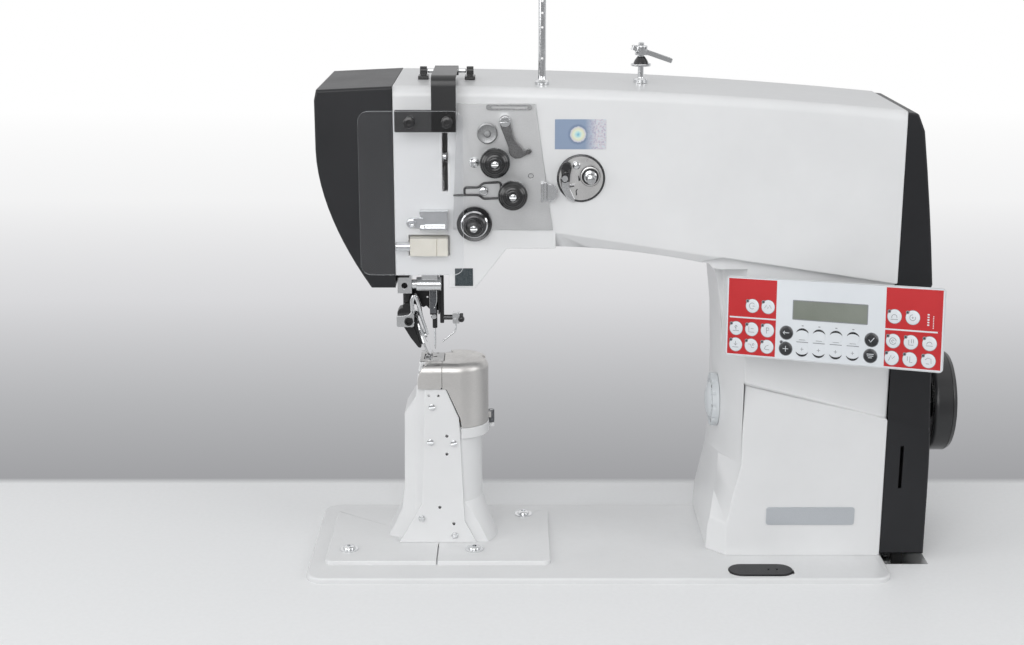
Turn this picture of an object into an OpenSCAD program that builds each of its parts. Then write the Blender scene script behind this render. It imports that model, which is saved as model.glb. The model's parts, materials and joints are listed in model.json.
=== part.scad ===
// Post-bed industrial sewing machine: head, arm and column on a bed plate that is let into a table.
// X runs along the arm, -Y faces the operator, Z = 0 is the table surface that the bed flange lies on.
// The needle's axis stands on the origin.

/* [Bed] */
// Length of the bed plate
bed_l = 518; // [500:1:640]
// Width of the bed plate
bed_w = 177; // [170:1:214]
// Thickness of the bed flange above the table
flange_t = 5; // [4:0.5:8]
// Corner radius of the bed plate
bed_corner_r = 16; // [6:1:24]
// Depth of the casting below the table surface
underbed_h = 45; // [44:1:60]
// Radius of the hinge bores in the rear edge
hinge_bore_r = 6; // [4:0.5:7]

/* [Arm] */
// Height of the arm's top over the table, at the head
arm_top = 430; // [428:1:500]
// Fall of the arm's top from the head to the column
arm_drop = 21; // [0:1:24]
// Depth of the arm from front to back
arm_d = 148; // [140:1:176]
// Height of the arm's underside over the table
arm_under = 291; // [288:1:300]
// Free room from the needle to the column
clearance = 245; // [240:1:290]
// Wall thickness of the castings
wall = 8; // [6:0.5:9]

/* [Post] */
// Height of the needle plate over the table
post_top = 180; // [180:1:190]
// Radius of the round side of the post
post_r = 25; // [24:0.5:27]
// Radius of the rotary hook
hook_r = 19.5; // [16:0.1:19.5]

/* [Drive] */
// Radius of the handwheel
handwheel_r = 46; // [38:0.5:58]
// Radius of the arm shaft
arm_shaft_r = 8; // [6:0.5:9]
// Radial clearance of every running fit
fit = 0.05; // [0.02:0.01:0.1]

/* [Stitch] */
// Radius of the needle bar
needle_bar_r = 4; // [3.2:0.1:4.5]
// Radius of the presser bar
presser_bar_r = 4.5; // [3.5:0.1:5]
// Radius of the roller foot
roller_r = 19; // [15:0.5:19]

/* [Panel] */
// Width of the control panel
panel_w = 188; // [160:1:226]
// Height of the control panel
panel_h = 69; // [60:1:83]
// Depth of the control panel
panel_t = 13; // [11:0.5:16]

/* [Hidden] */
$fn = 64;

// Overlap that makes a cut run clean through a face
cut = 1;
// Gap between two pieces that move past each other
gap = 0.3;

// Bed
bed_x0 = -113;
bed_x1 = bed_x0 + bed_l;
bed_front = -97;
bed_back = bed_front + bed_w;
skirt_in = 9;
skirt_t = 7;
bottom_cover_t = 2;
bed_shaft_z = -22;
bed_shaft_r = 7;
hinge_x = [-60, 350];
hinge_z = -14;
hinge_boss_r = 11;
cap_x = 290.5;
cap_l = 57;
cap_w = 24;
cap_y = bed_front + 19;
cap_t = 3;

// Arm, head and column outline, seen from the front
head_x0 = -31;
head_x1 = 38;
head_bottom = 256;
head_sole = 268;
sole_x1 = 15;
head_slope_x = 65;
casting_x1 = 403;
arm_front = -50;
arm_back = arm_front + arm_d;
under_flat_x = 106;
under_drop = 16;
column_front = -46;
column_recess = 4;
column_back = bed_back;
crease_x = 107;
crease_rise = 14;
crease_slope = 0.155;
crease_lean = 55;
block_crease_z = 135;
block_crease_slope = 0.257;
corner_cut = 19;
outline_steps = 16;

function arm_z(x) = arm_top - arm_drop * pow(max(0, (x - head_x0) / (casting_x1 - head_x0)), 2);
function under_z(x) = arm_under - under_drop * pow(max(0, (x - under_flat_x) / (clearance - under_flat_x)), 2);
function crease_z(x) = arm_under + crease_rise - crease_slope * (x - crease_x);
function block_z(x) = block_crease_z + block_crease_slope * (casting_x1 - x);

// Left face of the column: waisted between its foot and the arm
waist_x = clearance + 14;
waist_z = [100, 165];
foot_step_z = 29;

// Take-up lever slot and lever
slot_x = 12.7;
slot_w = 4.6;
slot_z = [341, 391];
take_up_y = -26;
take_up_z = 366;
take_up_t = 3;
take_up_pin_r = 3;

// Shafts, and the ribs that carry the arm shaft
rib_x = [42, 230];
arm_shaft_z = 352;
drive_y = 15;
drive_z = 134;
drive_shaft_r = 7;
pulley_r = 18;
pulley_w = 10;
upper_belt_x = 408;
lower_belt_x = 421;
belt_t = 2.4;
bush_t = 3;
bar_bush_t = 1.4;
hook_x = 21;
hook_shaft_r = 5;

// Needle bar
crank_r = 17;
crank_pin_r = 4;
rod_l = 50;
rod_t = 3.9;
rod_x = 5.9;
bar_up = 12;
bar_down = 22;
crank_angle = acos(1 - bar_up / crank_r);
crank_pin_y = crank_r * sin(crank_angle);
crank_pin_z = arm_shaft_z + crank_r * cos(crank_angle);
stud_z = crank_pin_z - sqrt(rod_l * rod_l - crank_pin_y * crank_pin_y);
stud_r = 3;
needle_r = 0.9;
needle_tip_z = post_top + 7;
needle_bar_z = [224, 385];
clamp_top_z = 226;
needle_bush_z = [[268, 279], [338, 358]];

// Pivot of the edge guide under the head
guide_pin = [9.2, -1];
guide_pin_r = 2;

// Presser bar and roller
presser_x = -24;
presser_y = 2;
presser_bar_z = [212, 400];
presser_bush_z = [[262, 280], [338, 358]];
presser_collar_z = [292, 298];
roller_x = -10;
roller_tilt = 17.5;
roller_t = 3;
roller_z = post_top + 1 + gap + roller_r * cos(roller_tilt) + roller_t / 2 * sin(roller_tilt);
feed_r = 15;
feed_x = [-9.2, -3.4];
feed_z = post_top + 0.8 - feed_r;

// Post
base_plate_t = 4;
base_plate_x = [-98, 104];
base_plate_y = [-68, 55];
base_z = flange_t + base_plate_t;
base_screws = [[-78.6, -41.4], [35.3, -41.4], [80.4, 44]];
base_screw_r = 3;
post_x = 17;
post_left = -29;
post_front = -23;
post_back = 25;
ring_z = [110, 120];
ring_r = 27.5;
front_plate_t = 2.5;
cover_r = 27;
cover_wall = 2;
cover_round = 8;
cover_top = post_top - 0.6;
hinge_pin = [50.3, 10.2];

// Tension plate and its fittings
plate_face = arm_front - 2;
knob_x = [55.2, 70.2, 37.4];
knob_z = [368, 340.4, 313.5];
knob_r = [12.7, 12.5, 7.5];
stud_out = 26;
tension_stud_r = 3;
check_x = 63.6;
check_z = 402;
winder_x = 128.1;
winder_z = 352.3;
winder_r = 20.5;
spindle_x = 135.7;
spindle_z = 354.5;
finger_x = 114.3;
finger_z = 353;

// Thread pin and guide unit on the arm's top
pin_at = [95.1, -20.8];
unit_at = [182.6, 20];
seat = 0.02;

// Eye guard
guard_hinge_y = 8;
guard_hinge_z = 437;
guard_x = [-58.6, 28.7];
guard_z = [272.7, 412];
guard_y = -72;
guard_t = 2;
strap_x = [2.5, 23];

// Panel
panel_at = [335, -110, 241];
panel_yaw = -29.45;
panel_pitch = -7.8;
panel_roll = -3.4;
tilt_back = 7;
swivel_back = 42;
swivel_at = panel_at + swivel_back * [-cos(panel_pitch) * sin(panel_yaw), cos(panel_pitch) * cos(panel_yaw), sin(panel_pitch)];

// Dial on the column
dial_y = 17;
dial_r = 24.5;
dial_t = 6.5;

ink = "#1d1e20";
paint = "#eceeef";
steel = "#b9bbbd";
bright = "#d6d7d8";

// ---------- shapes used by many pieces ----------

module along_x(x0, x1, r, y = 0, z = 0) {
    translate([x0, y, z]) rotate([0, 90, 0]) cylinder(r = r, h = x1 - x0);
}

module along_y(y0, y1, r, x = 0, z = 0) {
    translate([x, y0, z]) rotate([-90, 0, 0]) cylinder(r = r, h = y1 - y0);
}

module along_z(z0, z1, r, x = 0, y = 0) {
    translate([x, y, z0]) cylinder(r = r, h = z1 - z0);
}

module block(x, y, z) {
    translate([x[0], y[0], z[0]]) cube([x[1] - x[0], y[1] - y[0], z[1] - z[0]]);
}

// A drawing in X and Z, given depth from y0 to y1
module standing(y0, y1) {
    translate([0, y1, 0]) rotate([90, 0, 0]) linear_extrude(y1 - y0) children();
}

// A rectangle with round corners, drawn from its corner points
module round_rect(x, y, r) {
    translate([x[0] + r, y[0]]) square([x[1] - x[0] - 2 * r, y[1] - y[0]]);
    translate([x[0], y[0] + r]) square([x[1] - x[0], y[1] - y[0] - 2 * r]);
    for (cx = [x[0] + r, x[1] - r], cy = [y[0] + r, y[1] - r]) translate([cx, cy]) circle(r);
}

// A bar with round ends between two points of a drawing
module link(a, b, w) {
    t = atan2(b[1] - a[1], b[0] - a[0]);
    polygon(concat([for (s = [90:15:270]) a + w / 2 * [cos(t + s), sin(t + s)]],
        [for (s = [-90:15:90]) b + w / 2 * [cos(t + s), sin(t + s)]]));
}

// A helical wire along Z, closed at both ends
module coil(r0, r1, wire, z0, z1, turns) {
    sides = 6;
    per_turn = 12;
    n = turns * per_turn;
    ring = [for (i = [0:n], k = [0:sides - 1])
        let (a = 360 * i / per_turn, b = 360 * k / sides, t = i / n,
             r = r0 + (r1 - r0) * t + wire * cos(b))
        [r * cos(a), r * sin(a), z0 + (z1 - z0) * t + wire * sin(b)]];
    walls = [for (i = [0:n - 1], k = [0:sides - 1])
        let (k2 = (k + 1) % sides)
        [i * sides + k, i * sides + k2, (i + 1) * sides + k2, (i + 1) * sides + k]];
    polyhedron(ring, concat([[for (k = [sides - 1:-1:0]) k]], walls,
        [[for (k = [0:sides - 1]) n * sides + k]]));
}

// A screw with a slotted cheese head, standing along +Z
module slotted_screw(head_r, head_h, shank_r, shank_l, slot_w) {
    difference() {
        union() {
            cylinder(r = head_r, h = head_h);
            translate([0, 0, -shank_l]) cylinder(r = shank_r, h = shank_l + 0.5);
        }
        translate([-head_r - 1, -slot_w / 2, head_h * 0.55]) cube([2 * head_r + 2, slot_w, head_h]);
    }
}

module facing_front(x, y, z, turn = 0) {
    translate([x, y, z]) rotate([90, 0, 0]) rotate([0, 0, turn]) children();
}

// ---------- bed ----------

module bed_casting() {
    inner_x = [bed_x0 + skirt_in, bed_x1 - skirt_in];
    inner_y = [bed_front + skirt_in, bed_back - skirt_in];
    floor_z = -underbed_h + bottom_cover_t;
    color(paint) difference() {
        union() {
            linear_extrude(flange_t) round_rect([bed_x0, bed_x1], [bed_front, bed_back], bed_corner_r);
            difference() {
                block(inner_x, inner_y, [floor_z, 0.5]);
                block(inner_x + [skirt_t, -skirt_t], inner_y + [skirt_t, -skirt_t], [floor_z - cut, 0]);
            }
            // ribs that carry the shaft
            for (x = [70, 240]) block([x, x + 8], inner_y, [floor_z, 0.5]);
            // hinge bosses on the rear wall
            for (x = hinge_x) along_y(inner_y[1] - 20, inner_y[1], hinge_boss_r, x, hinge_z);
        }
        // way for the hook shaft and its gears
        along_z(-cut, flange_t + cut, 13, hook_x, 0);
        for (p = base_screws) along_z(1.5, flange_t + cut, base_screw_r, p[0], p[1]);
        // way for the lower belt, on a bed that reaches below it
        block([lower_belt_x - 3, lower_belt_x + pulley_w + 3], [-pulley_r - 6, drive_y + pulley_r + 6], [-cut, flange_t + cut]);
        // bores for the bed shaft's bushes
        along_x(69, bed_x1, bed_shaft_r + bush_t, 0, bed_shaft_z);
        for (x = hinge_x) along_y(inner_y[1] - 21, inner_y[1] + cut, hinge_bore_r, x, hinge_z);
        // pocket of the oval cap
        translate([0, 0, flange_t - cap_t]) linear_extrude(cap_t + cut)
            link([cap_x - cap_l / 2 + cap_w / 2, cap_y], [cap_x + cap_l / 2 - cap_w / 2, cap_y], cap_w + 2 * gap);
    }
}

module bed_bottom_cover() {
    color(steel) block([bed_x0 + skirt_in, bed_x1 - skirt_in], [bed_front + skirt_in, bed_back - skirt_in],
        [-underbed_h, -underbed_h + bottom_cover_t]);
}

module bed_inspection_cap() {
    color(ink) difference() {
        translate([0, 0, flange_t - cap_t]) linear_extrude(cap_t + 0.6)
            link([cap_x - cap_l / 2 + cap_w / 2, cap_y], [cap_x + cap_l / 2 - cap_w / 2, cap_y], cap_w);
        for (x = [7, 14.5]) along_z(flange_t - 1, flange_t + cut, 1, cap_x + x, cap_y);
    }
}

// ---------- arm, head and column ----------

function gantry_outline() = concat(
    [[head_x0, head_sole], [sole_x1, head_sole], [sole_x1, head_bottom], [head_x1, head_bottom],
     [head_slope_x, arm_under]],
    [for (i = [0:outline_steps]) let (x = under_flat_x + (clearance - 5 - under_flat_x) * i / outline_steps)
        [x, under_z(x)]],
    [[clearance + 3, under_z(clearance) - 7], [clearance + 8, 250], [waist_x - 2, 215],
     [waist_x, waist_z[1]], [waist_x, waist_z[0]], [waist_x - 2, 72], [clearance + 7, 48],
     [clearance + 3, foot_step_z], [clearance + 2, flange_t], [casting_x1, flange_t]],
    [for (i = [outline_steps:-1:0]) let (x = head_x0 + (casting_x1 - head_x0) * i / outline_steps)
        [x, arm_z(x)]]);

module arm_cavity() {
    inner_x1 = casting_x1 - wall;
    standing(arm_front + wall, arm_back + cut) polygon(concat(
        [[head_x0 - cut, arm_under + wall], [inner_x1, arm_under + wall]],
        [for (i = [outline_steps:-1:0]) let (x = head_x0 - cut + (inner_x1 - head_x0 + cut) * i / outline_steps)
            [x, arm_z(x) - wall]]));
    block([head_x0 - cut, head_x1 - wall], [arm_front + wall, arm_back - wall], [head_sole + wall, arm_under + wall + cut]);
    // the column's hollow keeps its wall behind the bevelled corner
    translate([0, 0, flange_t - cut]) linear_extrude(arm_under + wall - flange_t + 2 * cut) polygon([
        [waist_x + 22.5, column_front + wall], [inner_x1, column_front + wall], [inner_x1, column_back - wall],
        [waist_x + wall + 2, column_back - wall], [waist_x + wall + 2, -10]]);
}

// Outer and inner edge of the column's bevelled corner at its foot, above the foot and at the waist
corner_at = [[[clearance + 18, column_front], [clearance - 2, -25]],
    [[clearance + 22.5, column_front + 2], [clearance + 8, -15]],
    [[waist_x + 15.5, column_front + column_recess], [waist_x - 1, -6]]];

// Slice of what the bevelled corner takes away
module corner_slice(z, h, at) {
    translate([0, 0, z]) linear_extrude(h) polygon([[clearance - 20, arm_front - 1], [at[0][0], arm_front - 1],
        at[0], at[1], [clearance - 20, at[1][1]]]);
}

module arm_casting() {
    web_z = [needle_bush_z[1][0] + 4, needle_bush_z[1][1] - 4];
    color(paint) difference() {
        union() {
            difference() {
                standing(arm_front, arm_back) polygon(gantry_outline());
                // the column is shallower than the arm, behind and in front
                block([clearance - 10, casting_x1 + cut], [column_back, arm_back + cut], [0, under_z(clearance) - 4]);
                block([clearance - 10, casting_x1 + cut], [arm_front - cut, column_front], [0, 168]);
                standing(arm_front - cut, column_front + column_recess) polygon([
                    [clearance - 10, block_z(clearance - 10)], [casting_x1 + cut, block_z(casting_x1 + cut)],
                    [casting_x1 + cut, crease_z(casting_x1 + cut)], [clearance + 6, crease_z(clearance + 6)],
                    [clearance - 10, crease_z(clearance - 10) - 6]]);
                // bevelled corner between the column's front and left faces
                corner_slice(92, under_z(clearance) - 96, corner_at[2]);
                hull() {
                    corner_slice(92, cut, corner_at[2]);
                    corner_slice(62, cut, corner_at[1]);
                }
                hull() {
                    corner_slice(62, cut, corner_at[1]);
                    corner_slice(36, cut, corner_at[0]);
                }
                corner_slice(flange_t - cut, 36 + 2 * cut - flange_t, corner_at[0]);
                // bevel along the arm's lower front edge
                intersection() {
                    translate([crease_x, arm_front, crease_z(crease_x)]) rotate([0, atan(crease_slope), 0])
                        rotate([-crease_lean, 0, 0]) translate([-80, -40, -60]) cube([260, 100, 60]);
                    block([crease_x, clearance + 6], [arm_front - 40, arm_front + 14], [arm_under - 40, arm_under + 30]);
                }
                arm_cavity();
            }
            // web that guides the needle bar and the presser bar
            block([head_x0, rod_x - 1.6], [arm_front + wall - 0.5, 16], web_z);
            // bracket and pin of the take-up lever
            block([17.5, 22], [take_up_y - 8, take_up_y + 2], [take_up_z - 4, arm_z(20) - wall + 0.5]);
            along_x(slot_x - 2.1, 18, take_up_pin_r, take_up_y, take_up_z);
            // ribs that carry the arm shaft
            for (x = rib_x) block([x, x + 8], [arm_front + wall - 0.5, arm_back - 12], [arm_under + wall - 0.5, arm_z(x + 8) - wall + 0.5]);
        }
        // bores for the bars
        for (z = needle_bush_z) along_z(z[0] - 2, z[1] + 4, needle_bar_r + bar_bush_t);
        for (z = presser_bush_z) along_z(z[0] - 2, z[1] + 4, presser_bar_r + bar_bush_t, presser_x, presser_y);
        // pivot hole of the edge guide
        along_z(head_sole - cut, head_sole + wall - 0.5, guide_pin_r + fit, guide_pin[0], guide_pin[1]);
        // bores for the shafts
        along_x(rib_x[0] - cut, casting_x1 + cut, arm_shaft_r + bush_t, 0, arm_shaft_z);
        along_x(casting_x1 - wall - cut, casting_x1 + cut, drive_shaft_r + bush_t, drive_y, drive_z);
        // slot of the take-up lever
        block([slot_x - slot_w / 2, slot_x + slot_w / 2], [arm_front - cut, arm_front + wall + cut], slot_z);
        // recess behind the oil block
        block([-19, 16], [arm_front - cut, arm_front + 6], [285, 303]);
        // bores for the winder spindle, the dial and the check lever
        along_y(arm_front - cut, arm_front + wall + cut, 4 + fit, spindle_x, spindle_z);
        along_x(waist_x - 5, waist_x + wall + 4, 4 + fit, dial_y, drive_z);
        along_y(arm_front - cut, arm_front + wall + cut, 3 + fit, check_x, check_z);
    }
}

function cover_left(z) = z > 376 ? -97 : -97 + 45 * pow((376 - z) / 120, 1.8);
function head_cover_outline(t) = concat(
    [[head_x0 - gap, head_bottom + t], [cover_left(head_bottom) + t, head_bottom + t]],
    [for (i = [1:12]) let (z = head_bottom + (376 - head_bottom) * i / 12)
        [cover_left(z) + t, max(z, head_bottom + t)]],
    [[cover_left(400) + t, 418 - t], [cover_left(400) + 2 + t, arm_top - 3 - t], [head_x0 - gap, arm_top - t]]);

module head_cover() {
    t = 3;
    color(ink) difference() {
        standing(arm_front - 0.5, arm_back) polygon(head_cover_outline(0));
        standing(arm_front - 0.5 + t, arm_back - t) polygon([for (p = head_cover_outline(t)) [p[0] > head_x0 - 1 ? head_x0 + cut : p[0], p[1]]]);
    }
}

column_cover_x1 = 443;
function cover_right(z) = column_cover_x1 - 27 * pow(max(0, z - 60) / (arm_top - arm_drop - 60), 1.9);
module column_cover() {
    t = 3;
    top = arm_z(casting_x1) - 1;
    x0 = casting_x1 + gap;
    bottom = flange_t + 1.5;
    color(ink) difference() {
        standing(column_front - 0.5, arm_back - 6) polygon(concat([[x0, bottom], [column_cover_x1, bottom]],
            [for (i = [0:10]) let (z = 60 + (top - 16 - 60) * i / 10) [cover_right(z), z]],
            [[cover_right(top) - 4, top - 1], [x0, top]]));
        standing(column_front - 0.5 + t, arm_back - 6 - t) polygon(concat([[x0 - cut, bottom - cut], [column_cover_x1 - t, bottom - cut]],
            [for (i = [0:10]) let (z = 60 + (top - 16 - 60) * i / 10) [cover_right(z) - t, z]],
            [[cover_right(top) - 4 - t, top - 1 - t], [x0 - cut, top - t]]));
        // way for the handwheel shaft and the upright slot in the front
        along_x(column_cover_x1 - 12, column_cover_x1 + cut, drive_shaft_r + 2, drive_y, drive_z);
        block([416, 419], [column_front - 2, column_front + t + 1], [70, 110]);
    }
}

module arm_rear_cover() {
    inset = 4;
    color(paint) standing(arm_back, arm_back + 2.5) polygon(concat(
        [[head_x0 + inset, arm_under + inset], [casting_x1 - inset, arm_under + inset]],
        [for (i = [outline_steps:-1:0]) let (x = head_x0 + inset + (casting_x1 - head_x0 - 2 * inset) * i / outline_steps)
            [x, arm_z(x) - inset]]));
}

// ---------- tension plate and thread path ----------

module tension_plate() {
    color(steel) difference() {
        standing(plate_face, arm_front) polygon([[23.4, 416], [89.2, 416], [104.6, 307.5], [19, 308.5]]);
        for (i = [0:2]) along_y(plate_face - cut, arm_front + cut, tension_stud_r, knob_x[i], knob_z[i]);
        along_y(plate_face - cut, arm_front + cut, 3 + fit, check_x, check_z);
        along_y(plate_face - cut, arm_front + cut, 2, 85.5, 354.5);
        along_y(plate_face - cut, arm_front + cut, 1.5, 37.5, 366);
    }
}

module tension_studs() {
    color(bright) {
        for (i = [0:2]) {
            along_y(plate_face - stud_out, arm_front, tension_stud_r, knob_x[i], knob_z[i]);
            for (d = [3.2, 4.9]) difference() {
                along_y(plate_face - d - 1, plate_face - d, i == 2 ? 15 : 11, knob_x[i], knob_z[i]);
                along_y(plate_face - 10, plate_face + cut, tension_stud_r, knob_x[i], knob_z[i]);
            }
            difference() {
                along_y(plate_face - 3.2, plate_face, 5.5, knob_x[i], knob_z[i]);
                along_y(plate_face - 10, plate_face + cut, tension_stud_r, knob_x[i], knob_z[i]);
            }
        }
        // guide pulley and small round-head screws
        along_y(plate_face - 4, plate_face, 8.7, 48.6, 391);
        facing_front(37.5, plate_face, 366) slotted_screw(4.4, 3, 1.5, 1.5, 0.9);
    }
}

module tension_springs() {
    color(bright) for (i = [0:2]) facing_front(knob_x[i], plate_face - 6.4, knob_z[i])
        coil(8.5, 4.6, 0.45, 0, 6, 3);
}

module tension_knob(i) {
    color(ink) difference() {
        union() {
            along_y(plate_face - 21, plate_face - 13, knob_r[i], knob_x[i], knob_z[i]);
            along_y(plate_face - 23.5, plate_face - 20, knob_r[i] * 0.62, knob_x[i], knob_z[i]);
        }
        along_y(plate_face - 30, plate_face, tension_stud_r + fit, knob_x[i], knob_z[i]);
    }
}
module tension_knob_upper() { tension_knob(0); }
module tension_knob_middle() { tension_knob(1); }
module tension_knob_lower() { tension_knob(2); }

module thread_guides() {
    color(bright) {
        // slotted bar above the tensions
        difference() {
            standing(plate_face - 3, plate_face) link([50, 413], [84, 413], 4.6);
            standing(plate_face - 4, plate_face + cut) link([53, 413], [81, 413], 1.8);
        }
        // slotted wire bracket beside the middle knob
        difference() {
            standing(plate_face - 2, plate_face) link([22, 338.6], [52, 341], 8);
            standing(plate_face - 3, plate_face + cut) link([33, 340], [42, 340.4], 3.4);
        }
        facing_front(48, plate_face - 2, 341) slotted_screw(4.6, 2.4, 1.5, 1, 1);
        // tray above the oil block
        difference() {
            block([-21, 15], [arm_front - 10, arm_front], [309, 326]);
            block([-9, 13], [arm_front - 11, arm_front - 1.5], [311, 322]);
            block([-22, -9], [arm_front - 11, arm_front - 3], [318, 327]);
        }
        facing_front(-15, arm_front - 10, 313.4) slotted_screw(3.6, 2.2, 1.2, 2, 0.9);
        // thread cutter at the right edge of the plate
        difference() {
            block([94, 108], [arm_front - 8, plate_face], [333, 349]);
            block([97.5, 105], [arm_front - 9, plate_face - 2], [332, 350]);
        }
    }
}

module check_lever() {
    color(steel) {
        standing(plate_face - 9, plate_face - 6) {
            link([check_x, check_z], [73, 374.5], 7);
            link([73, 374.5], [84, 377], 4);
        }
        along_y(plate_face - 11, arm_front + wall + 2, 3, check_x, check_z);
        along_y(plate_face - 9, plate_face - 0.4, 5, check_x, check_z);
    }
}

module blank_plates() {
    color(steel) {
        standing(column_front - 1, column_front) round_rect([298.7, 378.1], [35, 52], 2.5);
        standing(arm_front - 0.3, arm_front) square_at(105.7, 149, 377, 402.4);
        standing(arm_front - 0.5, arm_front) square_at(20.3, 35.8, 258, 273.7);
    }
}
module square_at(x0, x1, z0, z1) { translate([x0, z0]) square([x1 - x0, z1 - z0]); }

module oil_block() {
    color("#e9e4d4") difference() {
        block([-17.6, 14.7], [arm_front - 9, arm_front + 6], [286.3, 301.7]);
        block([5, 5.6], [arm_front - 10, arm_front - 8], [286, 302]);
    }
    color(bright) along_x(-30, -17.6, 4, arm_front - 4.5, 294);
}

module rocker_shaft() {
    y = -24;
    z = 253.5;
    color(bright) {
        difference() {
            block([-31, -18.5], [y - 7, y + 7], [z - 7, head_sole]);
            along_y(y - 8, y - 3, 2.6, -24.8, z);
        }
        along_x(-19, -14, 4, y, z);
        along_x(-14.5, 7, 6.2, y, z);
        block([-10, 4], [y - 4, y + 4], [z, head_sole]);
    }
}

// ---------- winder, posts and panel ----------

module winder_plate() {
    color(steel) difference() {
        along_y(arm_front - 2, arm_front, winder_r, winder_x, winder_z);
        along_y(arm_front - 3, arm_front + cut, 4 + fit, spindle_x, spindle_z);
    }
    color(bright) along_y(arm_front - 7, arm_front - 2, 3, finger_x, finger_z);
}

module winder_spindle() {
    color(bright) {
        along_y(arm_front - 24, arm_front + wall + 2, 4, spindle_x, spindle_z);
        along_y(arm_front - 8, arm_front - 2.3, 8.6, spindle_x, spindle_z);
    }
}

module winder_lever() {
    color(bright) difference() {
        standing(arm_front - 6, arm_front - 2.3) {
            link([finger_x, finger_z], [118, 337], 7);
            link([finger_x, finger_z], [116, 366], 7);
        }
        along_y(arm_front - 8, arm_front, 3 + fit, finger_x, finger_z);
    }
}

module thread_posts() {
    pin_z = arm_z(pin_at[0] - 6.2) + seat;
    unit_z = arm_z(unit_at[0] - 6.2) + seat;
    color(bright) {
        difference() {
            union() {
                along_z(pin_z, pin_z + 4, 6.2, pin_at[0], pin_at[1]);
                along_z(pin_z, pin_z + 76, 3.3, pin_at[0], pin_at[1]);
            }
            for (z = [22, 48, 60, 70]) along_y(pin_at[1] - 5, pin_at[1] + 5, 1.1, pin_at[0], pin_z + z);
        }
        along_z(unit_z, unit_z + 4, 6.2, unit_at[0], unit_at[1]);
        along_z(unit_z, unit_z + 35, 2.6, unit_at[0], unit_at[1]);
        along_z(unit_z + 14.5, unit_z + 16.5, 9, unit_at[0], unit_at[1]);
    }
    color(ink) translate([unit_at[0], unit_at[1], unit_z + 16.5]) cylinder(r1 = 6.5, r2 = 3, h = 6.5);
}

module top_guide_arm() {
    z = arm_z(unit_at[0] - 6.2) + seat + 24;
    color(bright) difference() {
        union() {
            along_z(z, z + 8, 5.5, unit_at[0], unit_at[1]);
            translate([unit_at[0], unit_at[1], z + 2]) rotate([0, 19, 0]) translate([-9, -3.5, 0]) cube([37, 7, 4]);
        }
        along_z(z - 6, z + 12, 2.6 + fit, unit_at[0], unit_at[1]);
    }
}

module eye_guard_hinge() {
    color(ink) for (x = [[-12, -3], [28.5, 37.5]]) {
        z0 = arm_z(x[0]) + seat;
        block(x, [guard_hinge_y - 8, guard_hinge_y + 8], [z0, z0 + 3]);
        along_x(x[0] + 1.5, x[1] - 1.5, 3.6, guard_hinge_y, guard_hinge_z);
        block(x + [2, -2], [guard_hinge_y - 3.5, guard_hinge_y + 3.5], [z0 + 2, guard_hinge_z]);
    }
    color(bright) along_x(-4, 29.5, 2, guard_hinge_y, guard_hinge_z);
}

module eye_guard_bracket() {
    y_out = guard_y + guard_t;
    color(ink) difference() {
        union() {
            along_x(strap_x[0], strap_x[1], 4.2, guard_hinge_y, guard_hinge_z);
            block(strap_x, [y_out + 3, guard_hinge_y], [guard_hinge_z + 1, guard_hinge_z + 4]);
            block(strap_x, [y_out, y_out + 3], [396, guard_hinge_z + 4]);
            block([-28.2, strap_x[1]], [y_out, y_out + 3], [394.3, 412.6]);
            // clamp screws that pass through the clear sheet
            for (x = [-15.9, 15.6]) {
                along_y(guard_y - 4.5, guard_y, 5, x, 403);
                along_y(guard_y - 1, y_out + 1, 2.4, x, 403);
            }
        }
        along_x(strap_x[0] - cut, strap_x[1] + cut, 2 + fit, guard_hinge_y, guard_hinge_z);
    }
}

module eye_guard() {
    color([0.75, 0.8, 0.85, 0.4]) difference() {
        standing(guard_y, guard_y + guard_t) round_rect(guard_x, guard_z, 9);
        for (x = [-15.9, 15.6]) along_y(guard_y - cut, guard_y + guard_t + cut, 2.6, x, 403);
    }
}

module panel_frame() {
    translate(panel_at) rotate([0, 0, panel_yaw]) rotate([panel_pitch, 0, 0]) rotate([0, panel_roll, 0]) children();
}

module panel_housing() {
    w = panel_w / 2;
    h = panel_h / 2;
    color(steel) panel_frame() difference() {
        union() {
            standing(0.8, panel_t) round_rect([-w, w], [-h, h], 3);
            for (x = [-13, 13]) block([x - 3, x + 3], [panel_t - 1, panel_t + tilt_back + 6], [-7, 7]);
        }
        along_x(-20, 20, 3 + fit, panel_t + tilt_back, 0);
        // pocket of the keypad foil
        standing(-cut, 1.3) round_rect([-w + 2.5, w - 2.5], [-h + 2.5, h - 2.5], 1.5);
    }
}

module panel_foil() {
    w = panel_w / 2 - 2.7;
    h = panel_h / 2 - 2.7;
    color("#c8343a") panel_frame() standing(0.5, 1.3) round_rect([-w, w], [-h, h], 1.3);
}

module panel_knuckle() {
    back = panel_t + tilt_back;
    color(steel) {
        panel_frame() {
            along_x(-9.6, 9.6, 6, back, 0);
            block([-5, 5], [back, swivel_back - 6], [-5, 5]);
            along_x(-16, 16, 3, back, 0);
        }
        difference() {
            along_z(swivel_at[2] - 12, swivel_at[2] + 12, 9, swivel_at[0], swivel_at[1]);
            along_z(swivel_at[2] - 13, swivel_at[2] + 13, 4 + fit, swivel_at[0], swivel_at[1]);
        }
    }
}

module panel_bracket() {
    at = swivel_at;
    face = column_front + column_recess;
    color(steel) {
        along_z(at[2] - 18, at[2] + 18, 4, at[0], at[1]);
        for (s = [[-18, -12.3], [12.3, 18]]) {
            along_z(at[2] + s[0], at[2] + s[1], 8, at[0], at[1]);
            block([at[0] - 8, at[0] + 8], [at[1], face], [at[2] + s[0], at[2] + s[1]]);
        }
        block([at[0] - 14, at[0] + 14], [face - 4, face], [at[2] - 24, at[2] + 20]);
    }
}

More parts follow.
